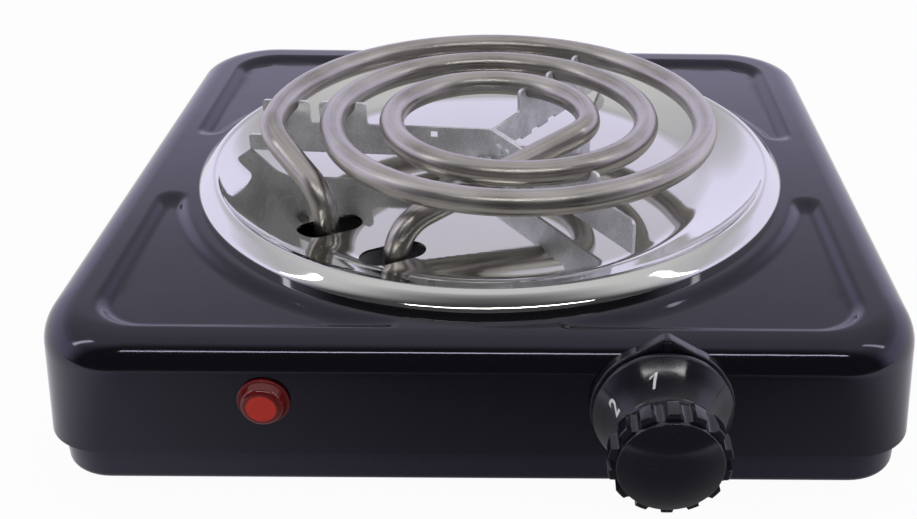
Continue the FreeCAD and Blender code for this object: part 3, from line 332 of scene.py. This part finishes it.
housing_low, housing_high = (Vector(corner) * 1000 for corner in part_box("top_housing"))
half_width, half_depth = (housing_high.x - housing_low.x) / 2, (housing_high.y - housing_low.y) / 2
middle_y = (housing_high.y + housing_low.y) / 2
top, foot = housing_high.z, housing_low.z
edge_radius = 9.0
top_corner, foot_corner = 27.0, 17.0
pan_y, opening = 7.2, 77.0
collar_depth, collar_rounding = 6.0, 0.3
panel_half_width, panel_half_depth = 98.5, 95.15
panel_corner, panel_shift = 14.0, 2.05
panel_depth, panel_wall, wall_start = 2.2, 4.0, 0.8
ring_edge = 94.0
side_bridge, middle_bridge = 22.0, 20.0
housing_steps, edge_steps, skirt_steps = 640, 10, 4
mm = 0.001


def outline_reach(cx, cy, inset, corner):
    """How far the outline lies from the middle of the pan in one direction."""
    near, far = 60.0, 190.0
    while far - near > 2e-6:
        guess = (near + far) / 2
        outside = rounded_distance(cx * guess, pan_y - middle_y + cy * guess, half_width - inset,
                                   half_depth - inset, corner - inset)
        near, far = (near, guess) if outside > 0 else (guess, far)
    return near


def sheet_height(x, y):
    """Height of the top, with soft walls down to the panels between the ring and the four bridges."""
    outside = rounded_distance(x, y - middle_y + panel_shift, panel_half_width, panel_half_depth,
                               panel_corner)
    raised = (ring_edge - math.hypot(x, y - pan_y), side_bridge - abs(y - pan_y), middle_bridge - abs(x))
    for distance in raised:
        outside = soft_max(outside, distance, panel_wall)
    share = min(max((wall_start - outside) / panel_wall, 0), 1)
    return top - panel_depth * share * share * (3 - 2 * share)


def evenly(start, end, steps):
    """Even steps from the start up to, but without, the end."""
    return [start + (end - start) * step / steps for step in range(steps)]


def housing_spoke(angle):
    """The points of the sheet in one direction from the pan: the collar, the top, the edge and the skirt."""
    cx, cy = math.cos(angle), math.sin(angle)
    line = [(opening, top - drop) for drop in (collar_depth, collar_depth / 2, 1.0)]
    line.append((opening + collar_rounding, top - collar_rounding))
    flat_start, flat_end = opening + 1.0, outline_reach(cx, cy, edge_radius, top_corner)
    # The points lie closer where walls of panels cross, and closer still where the top is narrow.
    near_wall = 10.0 * min((flat_end - flat_start) / 32.0, 1)
    flat = evenly(flat_start, flat_start + near_wall, 4)
    flat += evenly(flat_start + near_wall, flat_start + 2 * near_wall, 14)
    flat += evenly(flat_start + 2 * near_wall, flat_end - near_wall, 9)
    flat += evenly(flat_end - near_wall, flat_end, 13) + [flat_end]
    line += [(reach, sheet_height(reach * cx, pan_y + reach * cy)) for reach in flat]
    bends = [step * math.pi / 2 / edge_steps for step in range(1, edge_steps + 1)]
    rows = [(edge_radius * (1 - math.sin(bend)), top - edge_radius * (1 - math.cos(bend))) for bend in bends]
    rows += [(0.0, height) for height in evenly(top - edge_radius, foot, skirt_steps)[1:] + [foot]]
    for inset, height in rows:
        corner = foot_corner + (top_corner - foot_corner) * (height - foot) / (top - foot)
        line.append((outline_reach(cx, cy, inset, corner), height))
    return [Vector((reach * cx, pan_y + reach * cy, height)) * mm for reach, height in line]


spokes = [housing_spoke(angle) for angle in evenly(0, math.tau, housing_steps)]
pressed_housing = pressed_sheet("pressed_housing", [list(ring) for ring in zip(*spokes)], 0.8 * mm)
lamp_x, knob_x, controls_z = -53.1, 45.2, 34.7
screw_reach = 11.0
inlet_x, inlet_z = 58.5, 34.0
lamp_hole, bush_hole, screw_hole, inlet_hole = 5.0, 5.5, 1.6, 6.0
front, back = housing_low.y, housing_high.y
die_reach, hole_steps = 3.0, 48
for x, z, radius, wall in (
        (lamp_x, controls_z, lamp_hole, front),
        (knob_x, controls_z, bush_hole, front),
        (knob_x - screw_reach, controls_z, screw_hole, front),
        (knob_x + screw_reach, controls_z, screw_hole, front),
        (inlet_x, inlet_z, inlet_hole, back)):
    hole = [((x + radius * math.cos(angle)) * mm, (z + radius * math.sin(angle)) * mm)
            for angle in evenly(0, math.tau, hole_steps)]
    punch(pressed_housing, hole, (wall + die_reach) * mm, (wall - die_reach) * mm, sideways=True)
polish(pressed_housing, enamel, crease=50)
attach(pressed_housing, "base")
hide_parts("top_housing")

base_enamel, tree, shader, place = finish("base_enamel", (0.012, 0.011, 0.020), metallic=0.0,
                                          roughness=0.12, IOR=1.52, Specular_Tint=enamel_sheen)
tint(tree, noise(tree, place, 1600.0, 1.0), shader, (0.011, 0.010, 0.018), (0.017, 0.016, 0.025), 0.55, 0.8)
roughen(tree, noise(tree, place, 16.0, 5.0), shader, 0.09, 0.18, 0.35, 0.7)
dent(tree, noise(tree, place, 420.0, 2.0), shader, 0.05, 0.00012)
dress(base_enamel, "base_pan")

# ---- Drip pan ----
# A shallow bowl of thin steel that slopes gently up to a ridged rim, chrome plated like a mirror.
# Spinning it to shape leaves faint rings, and the sheet is never quite flat, so its reflections waver.


def axis_through(name, along):
    """A point on the axis through the middle of a CAD node's box, along X, Y or Z as 0, 1 or 2."""
    low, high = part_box(name)
    middle = [(a + b) / 2 for a, b in zip(low, high)]
    middle[along] = 0
    return Vector(middle)


pan_centre = axis_through("drip_pan", 2)
chrome, tree, shader, place = finish("mirror_chrome", (0.64, 0.64, 0.605), metallic=1.0, roughness=0.045)
centred = add_node(tree, "ShaderNodeMapping", Vector=place, Location=-pan_centre).outputs[0]
rings = add_node(tree, "ShaderNodeTexWave", {"wave_type": "RINGS", "rings_direction": "Z"}, Vector=centred,
                 Scale=260.0, Distortion=0.6, Detail=2.0).outputs["Fac"]
roughen(tree, noise(tree, place, 60.0, 6.0), shader, 0.03, 0.09, 0.35, 0.75)
sheet_wave = dent(tree, noise(tree, place, 22.0, 1.0), shader, 0.12, 0.0010)
dent(tree, rings, shader, 0.02, 0.00005, sheet_wave)


def soft_curve(corners, steps):
    """A smooth line that starts at the first corner, ends at the last and rounds off those between."""
    points = [Vector(corner) for corner in corners]
    joints = [points[0]] + [(a + b) / 2 for a, b in zip(points[1:-2], points[2:-1])] + [points[-1]]
    line = [points[0]]
    for begin, middle, end in zip(joints, points[1:-1], joints[1:]):
        for step in range(1, steps + 1):
            t = step / steps
            line.append(begin * (1 - t) ** 2 + middle * 2 * t * (1 - t) + end * t * t)
    return line


pan_profile = soft_curve([
    (2.2, 50.1), (10.5, 50.1), (13.0, 49.9), (16.0, 46.6), (19.0, 46.5), (40.0, 46.5), (60.0, 46.5),
    (66.6, 46.45), (72.0, 48.6), (78.5, 51.1), (83.0, 53.9), (85.0, 56.1), (88.9, 52.9), (90.0, 51.7),
    (90.0, 50.9), (90.0, 50.0)], steps=6)
pan_steps, slot_steps = 320, 40
pan_rings = []
for reach, height in pan_profile:
    ring = [(pan_centre.x + reach * mm * math.cos(angle), pan_centre.y + reach * mm * math.sin(angle),
             height * mm) for angle in evenly(0, math.tau, pan_steps)]
    pan_rings.append(ring)
spun_pan = pressed_sheet("spun_pan", pan_rings, 0.7 * mm)
pins_low, pins_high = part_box("coil_pins")
pin_radius = 1.6 * mm
leg_one = Vector((pins_low[0] + pin_radius, pins_high[1] - pin_radius, 0))
leg_two = Vector((pins_high[0] - pin_radius, pins_low[1] + pin_radius, 0))
slot_along = Vector((0.87, 0.49, 0)).normalized()
slot_reach, slot_end_radius = 4.7 * mm, 5.1 * mm
for leg, shift in ((leg_one, 0.8 * mm), (leg_two, -1.0 * mm)):
    slot = []
    for angle in evenly(0, math.tau, slot_steps):
        arm = Vector((math.cos(angle), math.sin(angle), 0))
        reach = slot_reach if arm.dot(slot_along) > 0 else -slot_reach
        end = leg + slot_along * (shift + reach) + arm * slot_end_radius
        slot.append((end.x, end.y))
    punch(spun_pan, slot, low=40 * mm, high=56 * mm)
polish(spun_pan, chrome, crease=35)
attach(spun_pan, "base")
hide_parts("drip_pan")

# ---- Heating element ----
# One steel tube packed with powder round a heating wire, wound as half-turns about two centres, its
# ends bent down through the pan. It is ground and annealed, so it is a warm, faintly streaked grey.


def new_tree(name, inputs):
    """Starts a Geometry Nodes tree with named inputs of (name, socket type, value)."""
    tree = bpy.data.node_groups.new(name, "GeometryNodeTree")
    tree.interface.new_socket("Geometry", in_out="INPUT", socket_type="NodeSocketGeometry")
    tree.interface.new_socket("Geometry", in_out="OUTPUT", socket_type="NodeSocketGeometry")
    for label, kind, value in inputs:
        socket = tree.interface.new_socket(label, in_out="INPUT", socket_type="NodeSocket" + kind)
        if kind != "Material":
            socket.default_value = value
    return tree, tree.nodes.new("NodeGroupInput"), tree.nodes.new("NodeGroupOutput")


def grow(name, mesh, tree, **values):
    """Runs a tree on a mesh and keeps the result as a plain object."""
    thing = put_in(name, mesh)
    modifier = thing.modifiers.new("shape", "NODES")
    modifier.node_group = tree
    for item in tree.interface.items_tree:
        label = item.name.replace(" ", "_")
        if item.in_out == "INPUT" and label in values:
            modifier[item.identifier] = values[label]
    grown = baked(thing)
    grown.name = name
    thing.modifiers.remove(modifier)
    thing.data = grown
    return thing


coil_low, coil_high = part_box("heating_coil")
tube_radius = 3.75 * mm
outer_turn_radius = 65.5 * mm
turn_pitch = 17.8 * mm
half_turns = 5
coil_level = coil_high[2] - tube_radius
coil_centre = Vector((coil_low[0] + tube_radius + outer_turn_radius,
                      coil_high[1] - tube_radius - outer_turn_radius, coil_level))

tree, given, result = new_tree("element_tube", [
    ("Outer Turn Radius", "Float", 0.07), ("Turn Pitch", "Float", 0.02), ("Half Turns", "Int", 5),
    ("Turn Centre", "Vector", (0, 0, 0)), ("Steps per Half Turn", "Int", 40), ("Tube Radius", "Float", 0.004),
    ("Steps Round", "Int", 32), ("Finish", "Material", None)])
# The turns are half-circles about two centres, each half a pitch narrower than the one before.
steps = given.outputs["Steps per Half Turn"]
count = maths(tree, "MULTIPLY_ADD", given.outputs["Half Turns"], steps, 1.0)
line = add_node(tree, "GeometryNodeMeshLine", Count=count)
progress = maths(tree, "DIVIDE", add_node(tree, "GeometryNodeInputIndex").outputs[0], steps)
last_half = maths(tree, "SUBTRACT", given.outputs["Half Turns"], 1.0)
half = maths(tree, "MINIMUM", maths(tree, "FLOOR", progress), last_half)
angle = maths(tree, "MULTIPLY", maths(tree, "SUBTRACT", progress, half), math.pi)
odd = maths(tree, "MODULO", half, 2.0)
side = maths(tree, "MULTIPLY_ADD", odd, -2.0, 1.0)
half_pitch = maths(tree, "DIVIDE", given.outputs["Turn Pitch"], 2.0)
narrower = maths(tree, "MULTIPLY", half, half_pitch)
radius = maths(tree, "SUBTRACT", given.outputs["Outer Turn Radius"], narrower)
reach = maths(tree, "MULTIPLY", side, radius)
across = maths(tree, "SUBTRACT", maths(tree, "MULTIPLY", odd, half_pitch),
               maths(tree, "MULTIPLY", reach, maths(tree, "COSINE", angle)))
away = maths(tree, "MULTIPLY", reach, maths(tree, "SINE", angle))
point = add_node(tree, "ShaderNodeCombineXYZ", X=across, Y=away)
turned = add_node(tree, "ShaderNodeVectorMath", {"operation": "ADD"}, i0=point.outputs[0],
                  i1=given.outputs["Turn Centre"])
turns = add_node(tree, "GeometryNodeSetPosition", Geometry=line.outputs[0], Position=turned.outputs[0])
# The legs come in as straight lines, get round knees, and join the ends of the turns.
bend = add_node(tree, "GeometryNodeInputNamedAttribute", {"data_type": "FLOAT"}, Name="bend")
legs = add_node(tree, "GeometryNodeMeshToCurve", Mesh=given.outputs["Geometry"])
round_legs = add_node(tree, "GeometryNodeFilletCurve", {"mode": "POLY"}, Curve=legs.outputs[0], Count=12,
                      Radius=bend.outputs[0])
leg_mesh = add_node(tree, "GeometryNodeCurveToMesh", Curve=round_legs.outputs[0])
joined = add_node(tree, "GeometryNodeJoinGeometry")
tree.links.new(turns.outputs[0], joined.inputs[0])
tree.links.new(leg_mesh.outputs[0], joined.inputs[0])
merged = add_node(tree, "GeometryNodeMergeByDistance", Geometry=joined.outputs[0], Distance=0.00002)
route = add_node(tree, "GeometryNodeMeshToCurve", Mesh=merged.outputs[0])
# A round section is swept along, and each point keeps its place along and around for the grain.
length = add_node(tree, "GeometryNodeSplineParameter")
along = add_node(tree, "GeometryNodeCaptureAttribute", Geometry=route.outputs[0])
along.capture_items.new("FLOAT", "along")
tree.links.new(length.outputs["Length"], along.inputs[1])
ring = add_node(tree, "GeometryNodeCurvePrimitiveCircle", Resolution=given.outputs["Steps Round"],
                Radius=given.outputs["Tube Radius"])
ring_place = add_node(tree, "GeometryNodeInputPosition")
round_it = add_node(tree, "GeometryNodeCaptureAttribute", Geometry=ring.outputs[0])
round_it.capture_items.new("VECTOR", "around")
tree.links.new(ring_place.outputs[0], round_it.inputs[1])
skin = add_node(tree, "GeometryNodeCurveToMesh", Curve=along.outputs[0], Profile_Curve=round_it.outputs[0],
                Fill_Caps=True)
ring_split = add_node(tree, "ShaderNodeSeparateXYZ", i0=round_it.outputs[1])
grain = add_node(tree, "ShaderNodeCombineXYZ", X=ring_split.outputs["X"], Y=ring_split.outputs["Y"],
                 Z=along.outputs[1])
marked = add_node(tree, "GeometryNodeStoreNamedAttribute", {"data_type": "FLOAT_VECTOR", "domain": "POINT"},
                  Geometry=skin.outputs[0], Name="grain", Value=grain.outputs[0])
real = add_node(tree, "GeometryNodeRealizeInstances", Geometry=marked.outputs[0])
painted = add_node(tree, "GeometryNodeSetMaterial", Geometry=real.outputs[0],
                   Material=given.outputs["Finish"])
tree.links.new(painted.outputs[0], result.inputs[0])
element_tree = tree

sheath, tree, shader, place = finish("element_sheath", (0.50, 0.475, 0.445), metallic=1.0, roughness=0.30)
follow = add_node(tree, "ShaderNodeAttribute", {"attribute_name": "grain"}).outputs["Vector"]
stretched = add_node(tree, "ShaderNodeMapping", Vector=follow, Scale=(1, 1, 0.03)).outputs[0]
streak = noise(tree, stretched, 1500.0, 3.0)
patch = noise(tree, place, 55.0, 4.0)
speck = noise(tree, place, 2600.0, 2.0)
heat = add_node(tree, "ShaderNodeMix", {"data_type": "FLOAT"}, i0=0.45, i2=patch, i3=streak).outputs[0]
tint(tree, heat, shader, (0.29, 0.27, 0.245), (0.54, 0.515, 0.485), 0.34, 0.66)
roughen(tree, heat, shader, 0.25, 0.42, 0.35, 0.65)
ground = dent(tree, streak, shader, 0.10, 0.00008)
dent(tree, speck, shader, 0.12, 0.00005, ground)

leg_one.z = leg_two.z = coil_low[2]
first = coil_centre - Vector((outer_turn_radius, 0, 0))
last = coil_centre + Vector((outer_turn_radius - (half_turns - 1) * turn_pitch / 2, 0, 0))
knee_one = Vector((leg_one.x, leg_one.y, coil_level - 11.5 * mm))
knee_two = Vector((leg_two.x, leg_two.y, coil_level - 13.5 * mm))
run_out_one, run_out_two = Vector((0, 11 * mm, 0)), Vector((0, 7 * mm, 0))
leg_lines = bpy.data.meshes.new("legs")
leg_lines.from_pydata([leg_one, knee_one, first - run_out_one, first,
                       last, last - run_out_two, knee_two, leg_two],
                      [(0, 1), (1, 2), (2, 3), (4, 5), (5, 6), (6, 7)], [])
bend_radii = [0, 12 * mm, 20 * mm, 0, 0, 11 * mm, 12 * mm, 0]
leg_lines.attributes.new("bend", "FLOAT", "POINT").data.foreach_set("value", bend_radii)
element = grow("element_tube", leg_lines, element_tree, Outer_Turn_Radius=outer_turn_radius,
               Turn_Pitch=turn_pitch, Half_Turns=half_turns, Turn_Centre=coil_centre, Steps_per_Half_Turn=44,
               Tube_Radius=tube_radius, Steps_Round=32, Finish=sheath)
element.data.shade_smooth()
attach(element, "base")
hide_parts("heating_coil")

# ---- Trivet ----
# Two bent strips of galvanised sheet riveted at the hub, their teeth gripping the turns of the element.
# The zinc is mottled and dull, here and on the bracket, clamp plate, posts and frame inside.
zinc, tree, shader, place = finish("galvanised_zinc", (0.62, 0.63, 0.66), metallic=0.45, roughness=0.42)
crystals = add_node(tree, "ShaderNodeTexVoronoi", {"feature": "F1"}, Vector=place, Scale=520.0,
                    Randomness=1.0).outputs["Color"]
cloud = noise(tree, place, 130.0, 5.0)
grit = noise(tree, place, 1500.0, 3.0)
mottle = add_node(tree, "ShaderNodeMix", {"data_type": "FLOAT"}, i0=0.5, i2=cloud, i3=grit).outputs[0]
tint(tree, mottle, shader, (0.66, 0.67, 0.71), (0.93, 0.93, 0.96), 0.38, 0.62)
roughen(tree, crystals, shader, 0.34, 0.52)
dent(tree, grit, shader, 0.22, 0.00012)
dress(zinc, "trivet_long_strip", "trivet_short_strip", "trivet_rivets", "bridge_bracket", "leg_clamp_plate",
      "post_front_left", "post_front_right", "post_back_left", "post_back_right", "thermostat_frame")

# ---- Screws, nuts and pins ----
# Turned and stamped steel with bright zinc plate: the screw through the hub, the rivets of the
# bridge, and the small parts inside.
plate, tree, shader, place = finish("bright_plate", (0.66, 0.66, 0.67), metallic=1.0, roughness=0.22)
roughen(tree, noise(tree, place, 900.0, 4.0), shader, 0.16, 0.32, 0.3, 0.7)
tint(tree, noise(tree, place, 300.0, 3.0), shader, (0.56, 0.56, 0.58), (0.74, 0.74, 0.74))
dent(tree, noise(tree, place, 2200.0, 2.0), shader, 0.1, 0.00004)
dress(plate, "centre_screw", "centre_nut", "pan_spacer", "bridge_rivets", "clamp_screws", "foot_screws",
      "coil_pins", "bezel_screws", "knob_clip", "thermostat_shaft", "stack_rivet", "indicator_push_nut",
      "block_screws", "earth_screw")

# ---- Feet and cable inlet ----
# Moulded black rubber: four feet under the base pan, and the bush in the rear wall that the mains
# cable passes through.
rubber, tree, shader, place = finish("moulded_rubber", (0.020, 0.020, 0.021), metallic=0.0, roughness=0.72)
tint(tree, noise(tree, place, 180.0, 4.0), shader, (0.016, 0.016, 0.017), (0.030, 0.030, 0.031))
roughen(tree, noise(tree, place, 500.0, 3.0), shader, 0.62, 0.82, 0.3, 0.7)
dent(tree, noise(tree, place, 1800.0, 3.0), shader, 0.2, 0.0001)
dress(rubber, "foot_front_left", "foot_front_right", "foot_back_left", "foot_back_right", "cable_inlet")

# ---- Knob and bezel ----
# Injection-moulded black plastic with a high polish: a grip with a domed face and round flutes, on a
# flared cone. The numbers are printed in white on the cone and turn with the knob.
gloss, tree, shader, place = finish("polished_plastic", (0.005, 0.005, 0.006), metallic=0.0,
                                    roughness=0.10, IOR=1.49)
roughen(tree, noise(tree, place, 90.0, 4.0), shader, 0.07, 0.15, 0.3, 0.7)
tint(tree, noise(tree, place, 1400.0, 1.0), shader, (0.010, 0.010, 0.015), (0.014, 0.014, 0.020), 0.5, 0.8)
dent(tree, noise(tree, place, 120.0, 2.0), shader, 0.06, 0.0005)
dress(gloss, "knob_bezel")


def rounded_line(corners, steps):
    """A line through corners of (radius, distance behind the face, rounding)."""
    line = []
    for i, (radius, behind_face, cut) in enumerate(corners):
        corner = Vector((radius, behind_face))
        if not cut:
            line.append(corner)
            continue
        back = corner + (Vector(corners[i - 1][:2]) - corner).normalized() * cut
        on = corner + (Vector(corners[i + 1][:2]) - corner).normalized() * cut
        for step in range(steps + 1):
            t = step / steps
            line.append(back * (1 - t) ** 2 + corner * 2 * t * (1 - t) + on * t * t)
    return line


knob_low, knob_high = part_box("knob")
dial_axis = axis_through("knob", 1)
face_radius, dome_radius, face_steps = 12.0, 24.2, 16
grip_radius, lobes, lobe_steps = 12.7, 14, 24
flute_reach, flute_radius = 14.6, 1.9
flute_start, flute_end = 4.59, 14.27
face = [Vector((reach, dome_radius - math.sqrt(dome_radius ** 2 - reach ** 2)))
        for reach in evenly(0, face_radius, face_steps)[1:] + [face_radius]]
sides = rounded_line([
    (12.0, 3.20, 0), (12.7, 3.56, 0.34), (12.7, 4.6, 0), (14.7, 4.6, 0.7), (14.7, 10.2, 1.2),
    (10.6, 14.2, 1.2), (10.6, 15.7, 0.7), (13.4, 19.5, 2.4), (17.5, 23.7, 0.4), (17.5, 25.0, 0.4),
    (8.4, 25.0, 0), (8.4, 5.8, 0.6), (5.6, 5.8, 0.4), (5.6, 24.2, 0), (3.05, 24.2, 0.2), (3.05, 10.2, 0),
    (0.5, 10.2, 0)], steps=4)


def fluted(radius, angle):
    """How far out the grip reaches at an angle, with round flutes cut in between its lobes."""
    off = abs(((angle - math.pi / 2) * lobes / math.tau) % 1 - 0.5) * math.tau / lobes
    across = flute_reach * math.sin(off)
    if across >= flute_radius:
        return radius
    return min(radius, flute_reach * math.cos(off) - math.sqrt(flute_radius ** 2 - across ** 2))


plastic = bmesh.new()
loops = []
for radius, behind_face in face + sides[1:]:
    in_grip = radius > grip_radius and flute_start <= behind_face <= flute_end
    loop = []
    for angle in evenly(0, math.tau, lobes * lobe_steps):
        reach = (fluted(radius, angle) if in_grip else radius) * mm
        loop.append(plastic.verts.new((dial_axis.x + reach * math.cos(angle), knob_low[1] + behind_face * mm,
                                       dial_axis.z + reach * math.sin(angle))))
    loops.append(loop)
join_rings(plastic, loops)
plastic.faces.new(loops[0])
plastic.faces.new(loops[-1][::-1])
moulded_knob = keep("moulded_knob", plastic)
polish(moulded_knob, gloss, crease=35)
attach(moulded_knob, "knob")
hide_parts("knob")
bpy.context.view_layer.update()
flare = BVHTree.FromObject(moulded_knob, bpy.context.evaluated_depsgraph_get())
behind_grip = knob_high[1] - 10.2 * mm
type_size, number_ring = 4.86 * mm, 13.4 * mm
first_turn, number_spacing = 16, 53
outward_share, print_thickness = 0.72, 0.05 * mm
flag = [(0.70 * mm, 1.70 * mm), (-0.60 * mm, 0.95 * mm), (-0.68 * mm, 0.50 * mm), (0.30 * mm, 1.05 * mm)]
print_white, tree, shader, place = finish("printed_white", (0.86, 0.86, 0.86), metallic=0.0, roughness=0.38)
tint(tree, noise(tree, place, 1500.0, 2.0), shader, (0.76, 0.76, 0.76), (0.92, 0.92, 0.92), 0.3, 0.6)


def flat_digit(number):
    """A slanted digit as a flat mesh of small triangles about the origin, the 1 with a longer flag."""
    text = bpy.data.curves.new("digit", "FONT")
    text.body = str(number)
    text.size = type_size
    text.align_x = "CENTER"
    text.align_y = "CENTER"
    text.shear = 0.35
    text.offset = 0.1 * mm
    text.resolution_u = 6
    digit = put_in("digit", text)
    bpy.context.view_layer.update()
    flat = bmesh.new()
    flat.from_mesh(baked(digit))
    bpy.data.objects.remove(digit)
    if number == 1:
        flat.faces.new([flat.verts.new((x, y, 0)) for x, y in flag])
    bmesh.ops.triangulate(flat, faces=flat.faces[:])
    long_edges = [edge for edge in flat.edges if edge.calc_length() > 0.6 * mm]
    bmesh.ops.subdivide_edges(flat, edges=long_edges, cuts=2)
    return flat


# Each digit is bent round the axis, then dropped on the cone from behind the grip.
digits = bmesh.new()
for step in range(5):
    digit = flat_digit(step + 1)
    turn_back = -math.radians(first_turn + number_spacing * step)
    for vert in digit.verts:
        ring_radius = number_ring + outward_share * vert.co.y
        swing = turn_back + vert.co.x / number_ring
        start = Vector((dial_axis.x + ring_radius * math.sin(swing), behind_grip,
                        dial_axis.z + ring_radius * math.cos(swing)))
        touched, facing = flare.ray_cast(start, Vector((0, 1, 0)))[:2]
        vert.co = touched + facing * print_thickness
    printed = bpy.data.meshes.new("digit")
    digit.to_mesh(printed)
    digit.free()
    digits.from_mesh(printed)
numbers = keep("dial_numbers", digits)
numbers.data.materials.append(print_white)
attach(numbers, "knob")

# ---- Indicator lamp ----
# A red translucent lens with a flange, pushed in from the front and held by a push nut. The neon bulb
# behind it is painted into the lens as a lighter disc, a painted glow in place of light seen through it.
lamp_axis = axis_through("indicator_lens", 1)
flange_radius = 6.5 * mm
red, tree, shader, place = finish("red_lens", (0.30, 0.012, 0.008), metallic=0.0, roughness=0.08, IOR=1.49)
centred = add_node(tree, "ShaderNodeMapping", Vector=place, Location=-lamp_axis).outputs[0]
flat = add_node(tree, "ShaderNodeVectorMath", {"operation": "MULTIPLY"}, i0=centred, i1=(1, 0, 1)).outputs[0]
reach = add_node(tree, "ShaderNodeVectorMath", {"operation": "LENGTH"}, i0=flat).outputs["Value"]
share = add_node(tree, "ShaderNodeMapRange", i0=reach, i1=0.0, i2=flange_radius, i3=0.0, i4=1.0).outputs[0]
# Painted glow: the lens colour is lighter red in the middle, for the bulb and the light seen through the
# lens.
tint(tree, share, shader, (0.66, 0.030, 0.014), (0.15, 0.008, 0.006), 0.545, 0.61)
dent(tree, noise(tree, place, 500.0, 2.0), shader, 0.05, 0.0001)
dress(red, "indicator_lens")
glass, tree, shader, place = finish("bulb_glass", (0.9, 0.45, 0.3), metallic=0.0, roughness=0.05,
                                    IOR=1.45, Transmission_Weight=0.6)
roughen(tree, noise(tree, place, 300.0, 2.0), shader, 0.03, 0.10, 0.3, 0.7)
dress(glass, "indicator_bulb")

# ---- Insulators and wiring ----
# Unglazed ceramic holds the ends of the element, the stack of the thermostat and the terminals.
# Wires in coloured silicone join them, and contacts and pole screws are brass.
ceramic, tree, shader, place = finish("unglazed_ceramic", (0.80, 0.78, 0.73), metallic=0.0, roughness=0.65)
tint(tree, noise(tree, place, 240.0, 5.0), shader, (0.72, 0.70, 0.65), (0.86, 0.84, 0.80))
dent(tree, noise(tree, place, 1600.0, 3.0), shader, 0.25, 0.0001)
dress(ceramic, "coil_seals", "thermostat_discs", "terminal_block")
nylon, tree, shader, place = finish("white_nylon", (0.82, 0.82, 0.80), metallic=0.0, roughness=0.45)
tint(tree, noise(tree, place, 300.0, 2.0), shader, (0.78, 0.78, 0.76), (0.86, 0.86, 0.84))
dress(nylon, "indicator_plug")
brass, tree, shader, place = finish("plain_brass", (0.72, 0.52, 0.22), metallic=1.0, roughness=0.28)
tint(tree, noise(tree, place, 260.0, 4.0), shader, (0.60, 0.41, 0.16), (0.80, 0.60, 0.28))
roughen(tree, noise(tree, place, 900.0, 3.0), shader, 0.2, 0.38, 0.3, 0.7)
dress(brass, "thermostat_bush", "spring_blade", "bimetal_blade", "pole_screws")
for name, colour, wires in (
        ("brown_silicone", (0.16, 0.07, 0.035), ("live_wire", "load_wire", "coil_wire_two")),
        ("blue_silicone", (0.04, 0.09, 0.34), ("coil_wire_one",)),
        ("white_silicone", (0.75, 0.75, 0.72), ("lamp_wires",)),
        ("green_silicone", (0.20, 0.40, 0.06), ("earth_wire",))):
    silicone, tree, shader, place = finish(name, colour, metallic=0.0, roughness=0.5)
    shade = tuple(c * 0.8 for c in colour)
    tint(tree, noise(tree, place, 400.0, 3.0), shader, shade, colour)
    dress(silicone, *wires)
